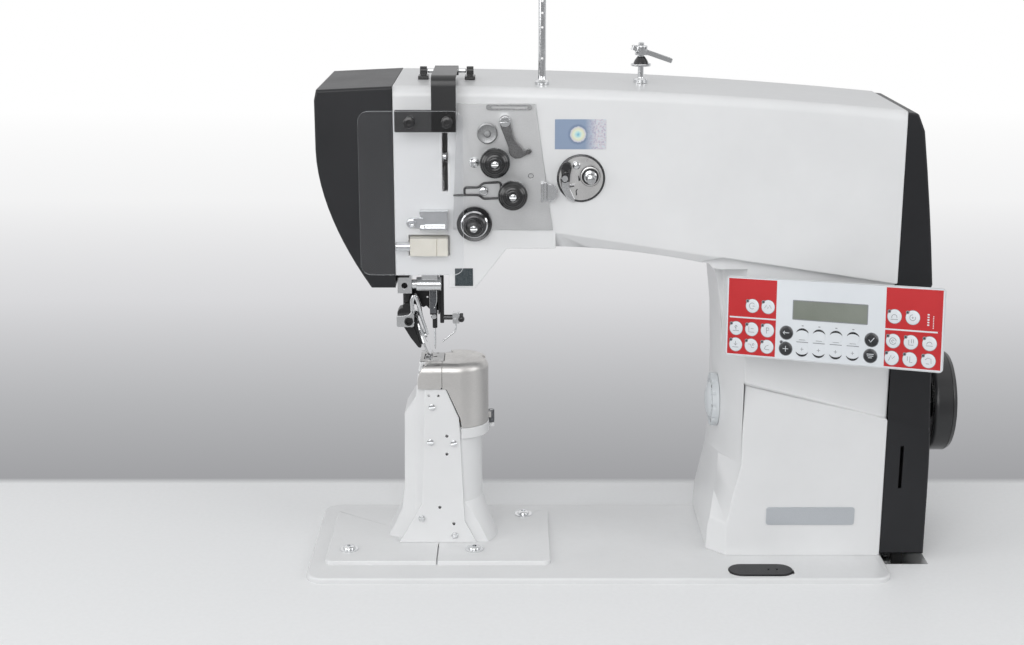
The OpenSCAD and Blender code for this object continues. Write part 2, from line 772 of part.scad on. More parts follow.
module stitch_dial() {
    color(paint) difference() {
        along_x(waist_x - gap - dial_t, waist_x - gap, dial_r, dial_y, drive_z);
        for (a = [0:30:330]) along_x(waist_x - gap - dial_t - 1, waist_x - gap - dial_t + 3, 1.2,
            dial_y + dial_r * cos(a), drive_z + dial_r * sin(a));
    }
    color(steel) along_x(waist_x - 1, waist_x + wall + 5, 4, dial_y, drive_z);
}

// ---------- post ----------

module post_base_plate() {
    color(paint) difference() {
        translate([0, 0, flange_t]) linear_extrude(base_plate_t) round_rect(base_plate_x, base_plate_y, 6);
        along_z(flange_t - cut, base_z + cut, 13, hook_x, 0);
        for (p = base_screws) along_z(flange_t - cut, base_z + cut, base_screw_r, p[0], p[1]);
        block([1.6, 2.8], [base_plate_y[0] - cut, post_front - 4], [flange_t - cut, base_z + cut]);
    }
}

module base_plate_screws() {
    color(bright) for (p = base_screws) translate([p[0], p[1], base_z]) {
        cylinder(r = 8.4, h = 1.2);
        translate([0, 0, 1.5 - base_z]) cylinder(r = base_screw_r, h = base_z - 1);
        translate([0, 0, 1.2]) difference() {
            cylinder(r1 = 5.6, r2 = 4, h = 2.4);
            translate([0, 0, 1]) cylinder(r = 2.2, h = 3, $fn = 6);
        }
    }
}

module post_outline() {
    polygon([[-45, base_z], [-38, 23], [-32, 38], [post_left, 60], [post_left + 1, 131], [-17, 149],
        [-14, post_top - 1.6], [-2.6, post_top - 1.6], [-2.6, ring_z[1]], [ring_r + hook_x + 6, ring_z[1]],
        [ring_r + hook_x + 6, ring_z[0]], [post_x + post_r, ring_z[0] - 8], [post_x + post_r, 55],
        [46, 23], [56, base_z]]);
}

module post_plan() {
    translate([post_x, 1]) circle(post_r);
    translate([post_left - 20, post_front]) square([post_x - post_left + 20, post_back - post_front + 1]);
}

module post_casting() {
    left_cut = 10;
    color(paint) difference() {
        union() {
            intersection() {
                standing(post_front, post_back + 1) post_outline();
                translate([0, 0, base_z]) linear_extrude(post_top) post_plan();
            }
            // flared foot on the round side
            intersection() {
                translate([post_x, 1, base_z]) cylinder(r1 = post_r + 14, r2 = post_r, h = 40);
                block([0, 80], [post_front, post_back + 1], [base_z, base_z + 39]);
            }
            // ring under the hook
            difference() {
                along_z(ring_z[0], ring_z[1], ring_r, hook_x, 0);
                block([-20, 24], [-40, post_front], [ring_z[0] - cut, ring_z[1] + cut]);
            }
            // fixed guard behind the hook
            intersection() {
                difference() {
                    along_z(ring_z[1] - 1, cover_top - cover_wall - gap, cover_r, hook_x, 0);
                    along_z(ring_z[1] - 2, cover_top, cover_r - cover_wall, hook_x, 0);
                }
                block([-10, hook_x + 20], [17, 40], [0, post_top]);
            }
            // ear of the hook cover's hinge
            along_z(ring_z[0], ring_z[1] - 6, 3, hinge_pin[0], hinge_pin[1]);
            block([hook_x + 20, hinge_pin[0]], [hinge_pin[1] - 2, hinge_pin[1] + 2], [ring_z[0], ring_z[1] - 6]);
            along_z(ring_z[0], ring_z[1] + 6, 1.5, hinge_pin[0], hinge_pin[1]);
        }
        // way for the hook shaft and its bushes
        along_z(base_z - cut, ring_z[1] + cut, hook_shaft_r + bush_t, hook_x, 0);
        // room for the hook above the ring
        along_z(ring_z[1], post_top, hook_r + 2, hook_x, 0);
        // step under the front edge of the hook cover
        block([post_left - cut, 0], [post_front - cut, -13.2], [170, post_top]);
        // room for the feed wheel and bores of its shaft
        along_x(feed_x[0] - 0.8, feed_x[1] + cut, feed_r + 1, 0, feed_z);
        along_x(post_left, feed_x[0], 4 + fit, 0, feed_z);
        // bevel between the front and the left face
        translate([post_left - 20, post_front - 10, 0]) linear_extrude(post_top + cut)
            polygon([[0, 0], [20 + left_cut + 6, 0], [20 + left_cut + 6, 9.9], [20 + left_cut, 10], [20, 18], [0, 26]]);
    }
}

plate_screw_at = [[-2.5, 139.8], [-4.3, 106.5], [16.9, 105.5], [-13.1, 32.7], [17, 16]];
module post_front_plate() {
    color(paint) difference() {
        standing(post_front - front_plate_t, post_front) polygon([[-8.7, 156.5], [10.2, 156.5], [21.7, 129.4],
            [22.5, 118.9], [24.8, 66], [26.3, 29.8], [37, base_z + 0.2], [-33.8, base_z + 0.2], [-12.9, 46.5],
            [-8.7, 151]]);
        for (p = [[10.7, 112.2], [10.5, 95], [3.5, 43.5], [16.2, 27.5], [-5.1, 150.2], [3.4, 150.2]])
            along_y(post_front - front_plate_t - cut, post_front + cut, 1.1, p[0], p[1]);
        for (p = plate_screw_at) along_y(post_front - front_plate_t - cut, post_front + cut, 1.2, p[0], p[1]);
    }
}

module post_plate_screws() {
    color(bright) for (p = plate_screw_at) facing_front(p[0], post_front - front_plate_t, p[1], 35)
        slotted_screw(3, 1.6, 1.2, front_plate_t, 0.8);
}

module needle_plate() {
    color(bright) difference() {
        block([-13, 8], [-13, 13], [post_top - 1.6, post_top]);
        along_z(post_top - 3, post_top + cut, 1.9);
        block([feed_x[0] - 0.6, feed_x[1] + 0.5], [-9, 9], [post_top - 3, post_top + cut]);
        for (y = [-10.8, 10.8]) along_z(post_top - 3, post_top + cut, 1.2, 2, y);
    }
}

// Wall and rounded top of the hook cover, as a section away from its axis
module cover_section(foot) {
    r = cover_round;
    polygon(concat([[0, cover_top - cover_wall], [cover_r - r, cover_top - cover_wall]],
        [for (a = [80:-20:0]) [cover_r - r + (r - cover_wall) * cos(a), cover_top - r + (r - cover_wall) * sin(a)]],
        [[cover_r - cover_wall, foot], [cover_r, foot]],
        [for (a = [0:15:90]) [cover_r - r + r * cos(a), cover_top - r + r * sin(a)]],
        [[0, cover_top]]));
}

module hook_cover() {
    foot = ring_z[1] + gap;
    left = -15;
    color(steel) difference() {
        union() {
            translate([hook_x, 0, 0]) rotate([0, 0, -90]) rotate_extrude(angle = 100) cover_section(foot);
            // top behind the needle
            translate([hook_x, 0, 0]) rotate([0, 0, 10]) rotate_extrude(angle = 98)
                translate([0, cover_top - cover_wall]) square([cover_r - cover_wall - gap, cover_wall]);
            block([8, hook_x], [0, 15], [cover_top - cover_wall, cover_top]);
            // straight front, left of the round part
            translate([left, 0, 0]) rotate([90, 0, 90]) linear_extrude(hook_x - left)
                mirror([1, 0]) cover_section(foot);
            // hinge barrel
            along_z(ring_z[1] - 5.6, ring_z[1] + 6, 2.9, hinge_pin[0], hinge_pin[1]);
            block([cover_r + hook_x - 2, hinge_pin[0]], [hinge_pin[1] - 6.5, hinge_pin[1]], [ring_z[1] + gap, ring_z[1] + 6]);
        }
        along_z(ring_z[1] - 7, ring_z[1] + 7, 1.5 + fit, hinge_pin[0], hinge_pin[1]);
        // opening round the needle plate
        block([left - cut, 8.6], [-13.6, 40], [cover_top - 20, cover_top + cut]);
        // lower edge that follows the front plate
        standing(-cover_r - cut, -12) polygon([[left - cut, foot - cut], [24.5, foot - cut], [22.9, 129.6], [10.9, 156.9], [left - cut, 156.9]]);
        // rounded left end
        standing(-cover_r - cut, 0) polygon(concat([[left - cut, 150]],
            [for (a = [180:-15:90]) [left + 11.5 + 11.5 * cos(a), 163 + (cover_top - 163) * sin(a)]],
            [[left + 11.5, cover_top + cut], [left - cut, cover_top + cut]]));
    }
}

// ---------- shafts, hook and bobbin ----------

module pulley(x, y, z) {
    along_x(x, x + pulley_w, pulley_r, y, z);
}

module drive_shaft() {
    color(steel) {
        along_x(casting_x1 - wall - 10, 452, drive_shaft_r, drive_y, drive_z);
        pulley(upper_belt_x, drive_y, drive_z);
        pulley(lower_belt_x, drive_y, drive_z);
    }
}

module handwheel() {
    x0 = 448.5;
    w = 21;
    color(ink) translate([x0, drive_y, drive_z]) rotate([0, 90, 0]) difference() {
        rotate_extrude() polygon(concat([[0, 3.6], [17, 3.6], [17, 7], [handwheel_r - 10, 7], [handwheel_r - 8, 0]],
            [[handwheel_r - 2, 0], [handwheel_r, 2], [handwheel_r, w - 4]],
            [for (a = [30:30:90]) [handwheel_r - 4 + 4 * cos(a), w - 4 + 4 * sin(a)]],
            [[handwheel_r - 9, w - 1], [20, w - 5], [0, w - 5]]));
        for (a = [0:60:300]) rotate([0, 0, a]) translate([27, 0, -1]) cylinder(r = 5, h = w + 2);
    }
    color(bright) difference() {
        along_x(column_cover_x1 + 1.2, x0 + 6, 15, drive_y, drive_z);
        along_x(column_cover_x1, 452, drive_shaft_r, drive_y, drive_z);
    }
}

module arm_shaft() {
    disc_x = slot_x + 5.3;
    color(steel) {
        along_x(disc_x, upper_belt_x + pulley_w, arm_shaft_r, 0, arm_shaft_z);
        pulley(upper_belt_x, 0, arm_shaft_z);
        along_x(disc_x, disc_x + 8, crank_r + 7, 0, arm_shaft_z);
        along_x(rod_x + rod_t + 0.4, disc_x + 1, crank_pin_r, crank_pin_y, crank_pin_z);
    }
}

gear_gap = 0.35;
module bed_shaft() {
    color(steel) {
        along_x(hook_x + 8, max(lower_belt_x + pulley_w, bed_x1 - skirt_in), bed_shaft_r, 0, bed_shaft_z);
        pulley(lower_belt_x, 0, bed_shaft_z);
        // drawn as the gear's pitch cone
        translate([hook_x + 5, 0, bed_shaft_z]) rotate([0, 90, 0]) cylinder(r1 = 10 - gear_gap, r2 = 16 - gear_gap, h = 3);
    }
}

module hook_shaft() {
    top = post_top - 30;
    color(steel) {
        along_z(bed_shaft_z + 10, top, hook_shaft_r, hook_x, 0);
        translate([hook_x, 0, bed_shaft_z + 10]) cylinder(r1 = 5 - gear_gap, r2 = 8 - gear_gap, h = 6);
    }
}

module rotary_hook() {
    z0 = post_top - 33;
    color(bright) difference() {
        union() {
            along_z(z0, z0 + 20, hook_r, hook_x, 0);
            along_z(z0 - 12, z0, hook_r * 0.6, hook_x, 0);
        }
        along_z(z0 + 3, z0 + 21, hook_r - 3, hook_x, 0);
        along_z(z0 - 13, z0 + 3.01, hook_shaft_r, hook_x, 0);
        // gap behind the hook's point
        translate([hook_x, 0, z0 + 12]) rotate([0, 0, 180]) block([0, 25], [-9, 6], [0, 9]);
    }
}

module bobbin_case() {
    z0 = post_top - 29.7;
    color(steel) difference() {
        union() {
            along_z(z0, z0 + 19, hook_r - 3.3, hook_x, 0);
            // finger that stops the case from turning
            block([hook_x - 3, hook_x + 3], [0, cover_r - cover_wall - 0.15], [z0 + 17, z0 + 19]);
        }
        along_z(z0 + 1.5, z0 + 20, hook_r - 5, hook_x, 0);
    }
    color(bright) along_z(z0 + 1, z0 + 16, 2.5, hook_x, 0);
}

module bobbin() {
    z0 = post_top - 27.9;
    r = hook_r - 6;
    color(bright) difference() {
        union() {
            along_z(z0, z0 + 1, r, hook_x, 0);
            along_z(z0, z0 + 11, 4.5, hook_x, 0);
            along_z(z0 + 10, z0 + 11, r, hook_x, 0);
            along_z(z0 + 1, z0 + 10, r - 2, hook_x, 0);
        }
        along_z(z0 - 1, z0 + 12, 2.5 + fit, hook_x, 0);
    }
}

module feed_wheel() {
    color(steel) {
        along_x(feed_x[0], feed_x[1], feed_r, 0, feed_z);
        along_x(post_left + 14.4, feed_x[0] + 1, 4, 0, feed_z);
    }
}

// Belt round two pulleys of one size, lying in a plane across X
module belt(x, a, b) {
    d = b - a;
    inner = pulley_r + gap;
    outer = inner + belt_t;
    translate([x, a[0], a[1]]) rotate([90, 0, 90]) rotate([0, 0, atan2(d[1], d[0])]) linear_extrude(pulley_w) {
        difference() {
            circle(outer);
            circle(inner);
            translate([0, -outer - 1]) square(2 * outer + 2);
        }
        translate([norm(d), 0]) difference() {
            circle(outer);
            circle(inner);
            translate([-2 * outer - 2, -outer - 1]) square(2 * outer + 2);
        }
        for (s = [inner, -outer]) translate([0, s]) square([norm(d), belt_t]);
    }
}

module toothed_belts() {
    color(ink) {
        belt(upper_belt_x, [drive_y, drive_z], [0, arm_shaft_z]);
        belt(lower_belt_x, [0, bed_shaft_z], [drive_y, drive_z]);
    }
}

module bush_x(x0, x1, r, y, z) {
    difference() {
        along_x(x0, x1, r + bush_t, y, z);
        along_x(x0 - cut, x1 + cut, r + fit, y, z);
    }
}

module bush_z(z, r, x, y, t = bush_t) {
    difference() {
        along_z(z[0], z[1], r + t, x, y);
        along_z(z[0] - cut, z[1] + cut, r + fit, x, y);
    }
}

module plain_bushes() {
    color("#b08d4f") {
        for (x = [rib_x[0], rib_x[1], casting_x1 - wall]) bush_x(x, x + 8, arm_shaft_r, 0, arm_shaft_z);
        bush_x(casting_x1 - wall, casting_x1, drive_shaft_r, drive_y, drive_z);
        for (x = [70, 240]) bush_x(x, x + 8, bed_shaft_r, 0, bed_shaft_z);
        bush_x(bed_x1 - skirt_in - skirt_t, bed_x1 - skirt_in, bed_shaft_r, 0, bed_shaft_z);
        for (z = [[base_z, base_z + 16], [ring_z[1] - 16, ring_z[1]]]) bush_z(z, hook_shaft_r, hook_x, 0);
        for (z = needle_bush_z) bush_z(z, needle_bar_r, 0, 0, bar_bush_t);
        for (z = presser_bush_z) bush_z(z, presser_bar_r, presser_x, presser_y, bar_bush_t);
    }
}

// ---------- needle, take-up and presser ----------

module needle_bar() {
    color(bright) {
        along_z(needle_bar_z[0], needle_bar_z[1], needle_bar_r);
        along_z(stud_z - 5, stud_z + 5, needle_bar_r + 1.4);
        along_x(0, rod_x + rod_t - 0.1, stud_r, 0, stud_z);
    }
}

module needle_clamp() {
    color(ink) difference() {
        union() {
            block([-4, 2.2], [-8, 5.4], [221, 246]);
            along_z(207, 222, 2.2);
        }
        along_z(206, clamp_top_z, needle_r);
        // seat of the needle bar's foot
        along_z(clamp_top_z - 2, needle_bar_z[1], needle_bar_r);
        for (z = [223:4:243]) block([-5, 1.4], [-9, -7.4], [z, z + 2]);
    }
}

module needle() {
    color(bright) {
        along_z(needle_tip_z + 4, needle_bar_z[0], needle_r);
        translate([0, 0, needle_tip_z]) cylinder(r1 = 0.15, r2 = needle_r, h = 4.01);
    }
}

module connecting_rod() {
    color(steel) translate([rod_x, 0, 0]) rotate([90, 0, 90]) linear_extrude(rod_t) difference() {
        union() {
            link([0, stud_z], [crank_pin_y, crank_pin_z], 7);
            translate([0, stud_z]) circle(6.5);
            translate([crank_pin_y, crank_pin_z]) circle(7.5);
        }
        translate([0, stud_z]) circle(stud_r + fit);
        translate([crank_pin_y, crank_pin_z]) circle(crank_pin_r + fit);
    }
}

module take_up_lever() {
    tip = [arm_front - 8, take_up_z + 6.5];
    color(bright) translate([slot_x - take_up_t / 2, 0, 0]) rotate([90, 0, 90]) linear_extrude(take_up_t) difference() {
        union() {
            link([take_up_y, take_up_z], tip, 6);
            translate([take_up_y, take_up_z]) circle(6);
        }
        translate([take_up_y, take_up_z]) circle(take_up_pin_r + fit);
        translate(tip) circle(1.5);
    }
}

module presser_bar() {
    color(bright) {
        along_z(presser_bar_z[0], presser_bar_z[1], presser_bar_r, presser_x, presser_y);
        along_z(presser_collar_z[0], presser_collar_z[1], presser_bar_r + 4.5, presser_x, presser_y);
    }
}

module presser_spring() {
    color(steel) translate([presser_x, presser_y, 0])
        coil(presser_bar_r + 1.8, presser_bar_r + 1.8, 0.8, presser_collar_z[1] + 0.9, presser_bush_z[1][0] - 0.9, 6);
}

module roller_frame() {
    translate([roller_x, 0, roller_z]) rotate([0, -roller_tilt, 0]) children();
}

module roller_arm() {
    color(bright) difference() {
        union() {
            block([presser_x - 10, presser_x + 5.7], [presser_y - 12, presser_y + 8], [210, 221]);
            roller_frame() {
                block([-5, -2], [-6, 6], [0, 24]);
                along_x(-5, -2, 6, 0, 0);
                along_x(-4, 2.6, 2.5, 0, 0);
                block([-12, -3], [-6, 6], [14, 22]);
            }
        }
        along_z(200, 230, presser_bar_r, presser_x, presser_y);
        along_y(presser_y - 13, presser_y - 8, 2.2, presser_x + 1, 215.5);
    }
}

module roller_wheel() {
    color(bright) roller_frame() difference() {
        along_x(-roller_t / 2, roller_t / 2, roller_r, 0, 0);
        along_x(-5, 5, 2.5 + fit, 0, 0);
    }
}

module edge_guide() {
    y = -1;
    color(ink) {
        block([4.8, 8.4], [y - 2.2, y + 2.2], [212, head_sole - 5]);
        block([4.8, 11.6], [y - 2.2, y + 2.2], [head_sole - 6, head_sole - gap]);
        along_z(head_sole - 1, head_sole + wall - 1, guide_pin_r, guide_pin[0], guide_pin[1]);
    }
    color(steel) {
        block([7, 17], [y - 2, y + 2], [213.5, 220.5]);
        block([16, 22.4], [y - 4, y + 4], [212, 222]);
        along_y(y - 9, y - 3, 2.8, 19.4, 216.5);
        along_z(204, 213, 0.8, 18.9, y);
        standing(y - 0.6, y + 0.6) {
            link([18.9, 205], [15.6, 201.6], 1.6);
            link([15.6, 201.6], [6.2, 194], 1.6);
        }
    }
}

bed_casting();
bed_bottom_cover();
bed_inspection_cap();
arm_casting();
head_cover();
column_cover();
arm_rear_cover();
tension_plate();
tension_studs();
tension_springs();
blank_plates();
post_base_plate();
post_casting();
post_front_plate();
post_plate_screws();
base_plate_screws();
needle_plate();
thread_posts();
thread_guides();
oil_block();
rocker_shaft();
plain_bushes();
winder_plate();
panel_bracket();
toothed_belts();
bobbin_case();
presser_spring();
eye_guard_hinge();
handwheel();
drive_shaft();
arm_shaft();
bed_shaft();
hook_shaft();
rotary_hook();
bobbin();
needle_bar();
needle_clamp();
needle();
connecting_rod();
take_up_lever();
presser_bar();
roller_arm();
roller_wheel();
feed_wheel();
edge_guide();
tension_knob_upper();
tension_knob_middle();
tension_knob_lower();
check_lever();
winder_spindle();
winder_lever();
eye_guard();
eye_guard_bracket();
hook_cover();
panel_knuckle();
panel_housing();
panel_foil();
stitch_dial();
top_guide_arm();
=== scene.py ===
# A post-bed industrial sewing machine head with its bed, from the bed casting up.
# Sizes are in millimetres where a name or a list says nothing else, and meshes are in metres.
import json
import math

import bmesh
import bpy
from mathutils import Matrix, Vector

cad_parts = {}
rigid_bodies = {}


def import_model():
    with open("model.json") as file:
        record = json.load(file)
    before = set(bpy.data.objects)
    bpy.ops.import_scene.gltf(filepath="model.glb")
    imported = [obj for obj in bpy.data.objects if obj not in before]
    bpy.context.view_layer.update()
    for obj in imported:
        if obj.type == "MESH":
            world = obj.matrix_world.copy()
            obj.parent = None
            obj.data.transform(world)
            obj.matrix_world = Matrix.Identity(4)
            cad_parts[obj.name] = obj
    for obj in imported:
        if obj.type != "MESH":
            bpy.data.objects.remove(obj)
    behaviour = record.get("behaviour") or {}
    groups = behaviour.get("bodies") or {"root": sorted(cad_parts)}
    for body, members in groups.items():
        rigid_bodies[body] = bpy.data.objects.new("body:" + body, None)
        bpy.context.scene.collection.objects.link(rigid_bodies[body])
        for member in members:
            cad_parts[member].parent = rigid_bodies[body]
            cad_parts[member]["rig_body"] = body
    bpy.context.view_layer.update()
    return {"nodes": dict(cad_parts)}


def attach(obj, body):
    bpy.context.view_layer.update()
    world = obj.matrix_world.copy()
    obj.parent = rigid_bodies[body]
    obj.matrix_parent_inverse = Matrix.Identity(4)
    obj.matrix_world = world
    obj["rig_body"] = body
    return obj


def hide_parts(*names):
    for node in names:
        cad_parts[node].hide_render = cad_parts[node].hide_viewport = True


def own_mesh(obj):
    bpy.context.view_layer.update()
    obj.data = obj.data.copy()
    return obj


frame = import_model()
scene = bpy.context.scene
scene.view_settings.view_transform = "Standard"


# ----------
# Camera. It stands at table height plus half a metre, square to the machine's
# front and tipped down, with a lens long enough to keep the uprights upright.
def placed(name, data):
    made = bpy.data.objects.new(name, data)
    scene.collection.objects.link(made)
    return made


lens = bpy.data.cameras.new("camera")
lens.lens = 56.25
lens.sensor_width = 36
camera = placed("camera", lens)
camera.location = (0.0695, -1.3945, 0.588)
camera.rotation_euler = (math.radians(74.9), 0, 0)
scene.camera = camera


# ----------
# Floor. A pale table top with the cut-out that the bed's box hangs in and the
# belt's slot to the right of it. Past its back edge it is a painted glow, grey near
# and white far, a painted fall of the room's light. The light it throws back comes
# from a darker paint, as painted shade on what faces down, and in reflections its
# front is a painted dark glow.
def feed(tree, node, inputs):
    for name, value in inputs.items():
        if isinstance(value, bpy.types.Node):
            value = value.outputs[0]
        if isinstance(value, bpy.types.NodeSocket):
            tree.links.new(value, node.inputs[name])
        else:
            node.inputs[name].default_value = value


# Adds a node. An input takes a value or a link, and a node stands for its first output.
def put(tree, kind, inputs=None, **settings):
    made = tree.nodes.new(kind)
    for name, value in settings.items():
        setattr(made, name, value)
    feed(tree, made, inputs or {})
    return made


# Each stop of a ramp is its place and its colour.
def ramp(tree, factor, *stops):
    made = put(tree, "ShaderNodeValToRGB", {"Fac": factor})
    band = made.color_ramp
    while len(band.elements) < len(stops):
        band.elements.new(0.5)
    for element, (place, *colour) in zip(band.elements, stops):
        element.position = place
        element.color = (*colour, 1)
    return made


def noise(tree, scale, detail, roughness=0.5):
    place = put(tree, "ShaderNodeTexCoord").outputs["Object"]
    return put(tree, "ShaderNodeTexNoise", {"Vector": place, "Scale": scale, "Detail": detail, "Roughness": roughness})


def spread(tree, value, low, high, first=0.0, last=1.0):
    return put(tree, "ShaderNodeMapRange",
               {"Value": value, "From Min": low, "From Max": high, "To Min": first, "To Max": last})


def reckoned(tree, operation, a, b):
    return put(tree, "ShaderNodeMath", {0: a, 1: b}, operation=operation)


def blended(tree, share, a, b):
    return put(tree, "ShaderNodeMix", {0: share, 6: a, 7: b}, data_type="RGBA").outputs[2]


def split_axes(tree, vector):
    return put(tree, "ShaderNodeSeparateXYZ", {"Vector": vector}).outputs


# One where the camera looks on straight, through glass or in bright metal.
def looked_at(tree, seen):
    direct = reckoned(tree, "MAXIMUM", seen["Is Camera Ray"], seen["Is Transmission Ray"])
    return reckoned(tree, "MAXIMUM", direct, seen["Is Glossy Ray"])


def blank_material(name):
    made = bpy.data.materials.new(name)
    made.use_nodes = True
    made.node_tree.nodes.clear()
    return made, made.node_tree


columns = [-7, -0.104, 0.396, 0.446, 7]
rows = [-7, -0.088, -0.054, 0.040, 0.071, 12]
pocket_depth = -0.075
top = bmesh.new()
corner = {(i, j, k): top.verts.new((x, y, z)) for i, x in enumerate(columns) for j, y in enumerate(rows)
          for k, z in enumerate((0, pocket_depth))}
is_open = {(1, 1), (1, 2), (1, 3), (2, 2)}
for i in range(len(columns) - 1):
    for j in range(len(rows) - 1):
        k = 1 if (i, j) in is_open else 0
        around = [(i, j), (i + 1, j), (i + 1, j + 1), (i, j + 1)]
        top.faces.new([corner[at + (k,)] for at in around])
        if k:
            beyond = [(i, j - 1), (i + 1, j), (i, j + 1), (i - 1, j)]
            for a, b, side in zip(around, around[1:] + around[:1], beyond):
                if side not in is_open:
                    top.faces.new([corner[a + (0,)], corner[b + (0,)], corner[b + (1,)], corner[a + (1,)]])
bmesh.ops.delete(top, geom=[v for v in top.verts if not v.link_faces], context="VERTS")
floor_mesh = bpy.data.meshes.new("floor")
top.to_mesh(floor_mesh)
top.free()
placed("floor", floor_mesh)

table_white, tree = blank_material("table_white")
y = split_axes(tree, put(tree, "ShaderNodeTexCoord").outputs["Object"])["Y"]
mottle = noise(tree, 260.0, 4.0)
seen = put(tree, "ShaderNodeLightPath").outputs
# To the light that it throws back the table is painted darker: painted shade on what faces down.
paint_and_painted_shade = blended(tree, seen["Is Diffuse Ray"],
                ramp(tree, mottle, (0.3, 0.885, 0.89, 0.895), (0.7, 0.91, 0.915, 0.92)),
                ramp(tree, mottle, (0.3, 0.50, 0.503, 0.51), (0.7, 0.54, 0.543, 0.55)))
skin = put(tree, "ShaderNodeBsdfPrincipled", {"Base Color": paint_and_painted_shade, "Roughness": 0.55})
# Past the table's back edge the camera sees a painted glow, grey near and white far: a painted fall of the room's
# light.
painted_room_glow = put(tree, "ShaderNodeEmission", {"Color": ramp(
    tree, spread(tree, y, 0.0, 3.0), (0.05, 0.35, 0.352, 0.365), (0.143, 0.468, 0.472, 0.485),
    (0.304, 0.694, 0.694, 0.71), (0.57, 0.896, 0.896, 0.9), (0.89, 0.97, 0.97, 0.97), (1.0, 1.0, 1.0, 1.0))})
share = reckoned(tree, "MULTIPLY", looked_at(tree, seen), spread(tree, y, 0.150, 0.165))
mix = put(tree, "ShaderNodeMixShader", {0: share, 1: skin, 2: painted_room_glow})
# In reflections the floor in front of the machine is a grey painted glow: a painted dark reflection.
share = reckoned(tree, "MULTIPLY", spread(tree, y, -0.2, -0.7, 0.0, 0.85), seen["Is Glossy Ray"])
painted_dark_reflection = put(tree, "ShaderNodeEmission",
            {"Color": ramp(tree, mottle, (0.3, 0.36, 0.36, 0.365), (0.7, 0.40, 0.40, 0.405))})
mix = put(tree, "ShaderNodeMixShader", {0: share, 1: mix, 2: painted_dark_reflection})
put(tree, "ShaderNodeOutputMaterial", {"Surface": mix})
floor_mesh.materials.append(table_white)

# ----------
# Studio light. One wide soft lamp in front and above, a fill from the left and
# a weak one from the right, in a room that is pale above and greyer low down.
room = bpy.data.worlds.new("room")
scene.world = room
room.use_nodes = True
tree = room.node_tree
tree.nodes.clear()
way = split_axes(tree, put(tree, "ShaderNodeTexCoord").outputs["Generated"])
walls = put(tree, "ShaderNodeBackground", {
    "Color": ramp(tree, spread(tree, way["Z"], -0.3, 1.0), (0.0, 0.34, 0.342, 0.355),
                  (0.23, 0.5, 0.502, 0.515), (0.42, 0.86, 0.86, 0.87), (0.6, 1.0, 1.0, 1.0)),
    "Strength": spread(tree, way["Y"], -0.75, 0.05, 0.52, 1.0)})
air = put(tree, "ShaderNodeBackground", {"Color": (0.97, 0.985, 1.0, 1), "Strength": 0.46})
seen = put(tree, "ShaderNodeLightPath").outputs
mix = put(tree, "ShaderNodeMixShader", {0: looked_at(tree, seen), 1: air, 2: walls})
put(tree, "ShaderNodeOutputWorld", {"Surface": mix})

for name, at, aim, wide, watts in [
        ("lamp_front", (-0.35, -1.9, 1.15), (0.12, 0, 0.2), 1.5, 19),
        ("lamp_left", (-1.5, -0.7, 0.8), (0.1, 0, 0.2), 1.0, 7.5),
        ("lamp_top", (0.25, -0.3, 1.9), (0.15, 0, 0.2), 1.2, 1),
        ("lamp_right", (1.7, -0.9, 0.9), (0.2, 0, 0.2), 1.0, 7)]:
    lamp = bpy.data.lights.new(name, "AREA")
    lamp.shape = "SQUARE"
    lamp.size = wide
    lamp.energy = watts
    hung = placed(name, lamp)
    hung.location = at
    hung.rotation_euler = (Vector(aim) - Vector(at)).to_track_quat("-Z", "Y").to_euler()


# ----------
# Bed casting: cast iron box with a flange that lies on the table. It is ground
# on top, filled, and sprayed with white two-pack enamel that has a fine peel.
def node_group(name, inputs, outputs, kind="ShaderNodeTree"):
    made = bpy.data.node_groups.new(name, kind)
    for label, socket, *value in inputs:
        item = made.interface.new_socket(label, in_out="INPUT", socket_type="NodeSocket" + socket)
        if value:
            item.default_value = value[0]
    for label, socket in outputs:
        made.interface.new_socket(label, in_out="OUTPUT", socket_type="NodeSocket" + socket)
    return made, put(made, "NodeGroupInput").outputs, put(made, "NodeGroupOutput")


# What a sprayed, moulded or cast skin shows: a fine relief, a slow drift of tone, and dust on what faces up.
skin_group, taken, given = node_group(
    "skin_grain", [("Grain", "Float", 700.0), ("Drift", "Float", 12.0), ("Dust", "Float", 0.3)],
    [("Relief", "Float"), ("Tone", "Float"), ("Dusting", "Float")])
facing = put(skin_group, "ShaderNodeNewGeometry").outputs["Normal"]
lying = spread(skin_group, split_axes(skin_group, facing)["Z"], 0.6, 1.0)
dust = spread(skin_group, noise(skin_group, 95.0, 5.0, 0.7), 0.42, 0.72)
dust = reckoned(skin_group, "MULTIPLY", reckoned(skin_group, "MULTIPLY", dust, lying), taken["Dust"])
feed(skin_group, given, {"Relief": noise(skin_group, taken["Grain"], 3.0),
                         "Tone": noise(skin_group, taken["Drift"], 4.0, 0.6), "Dusting": dust})


# Ends a material's tree in its shader.
def close_material(tree, inputs):
    put(tree, "ShaderNodeOutputMaterial", {"Surface": put(tree, "ShaderNodeBsdfPrincipled", inputs)})


def skin_material(name, dark, light, roughness, grain, relief, dust=0.2, drift=12.0, coat=0.0,
                  coat_roughness=0.1, metallic=0.0, dusty=(0.55, 0.55, 0.54), sheen=0.5):
    made, tree = blank_material(name)
    grained = put(tree, "ShaderNodeGroup", node_tree=skin_group)
    feed(tree, grained, {"Grain": grain, "Drift": drift, "Dust": dust})
    given = grained.outputs
    colour = ramp(tree, given["Tone"], (0.3, *dark), (0.7, *light))
    close_material(tree, {
        "Base Color": blended(tree, given["Dusting"], colour, (*dusty, 1)),
        "Roughness": spread(tree, given["Tone"], 0.25, 0.75, roughness * 0.86, min(1, roughness * 1.14)),
        "Metallic": metallic, "Specular IOR Level": sheen, "Coat Weight": coat, "Coat Roughness": coat_roughness,
        "Normal": put(tree, "ShaderNodeBump", {"Height": given["Relief"], "Strength": relief, "Distance": 0.0002})})
    return made


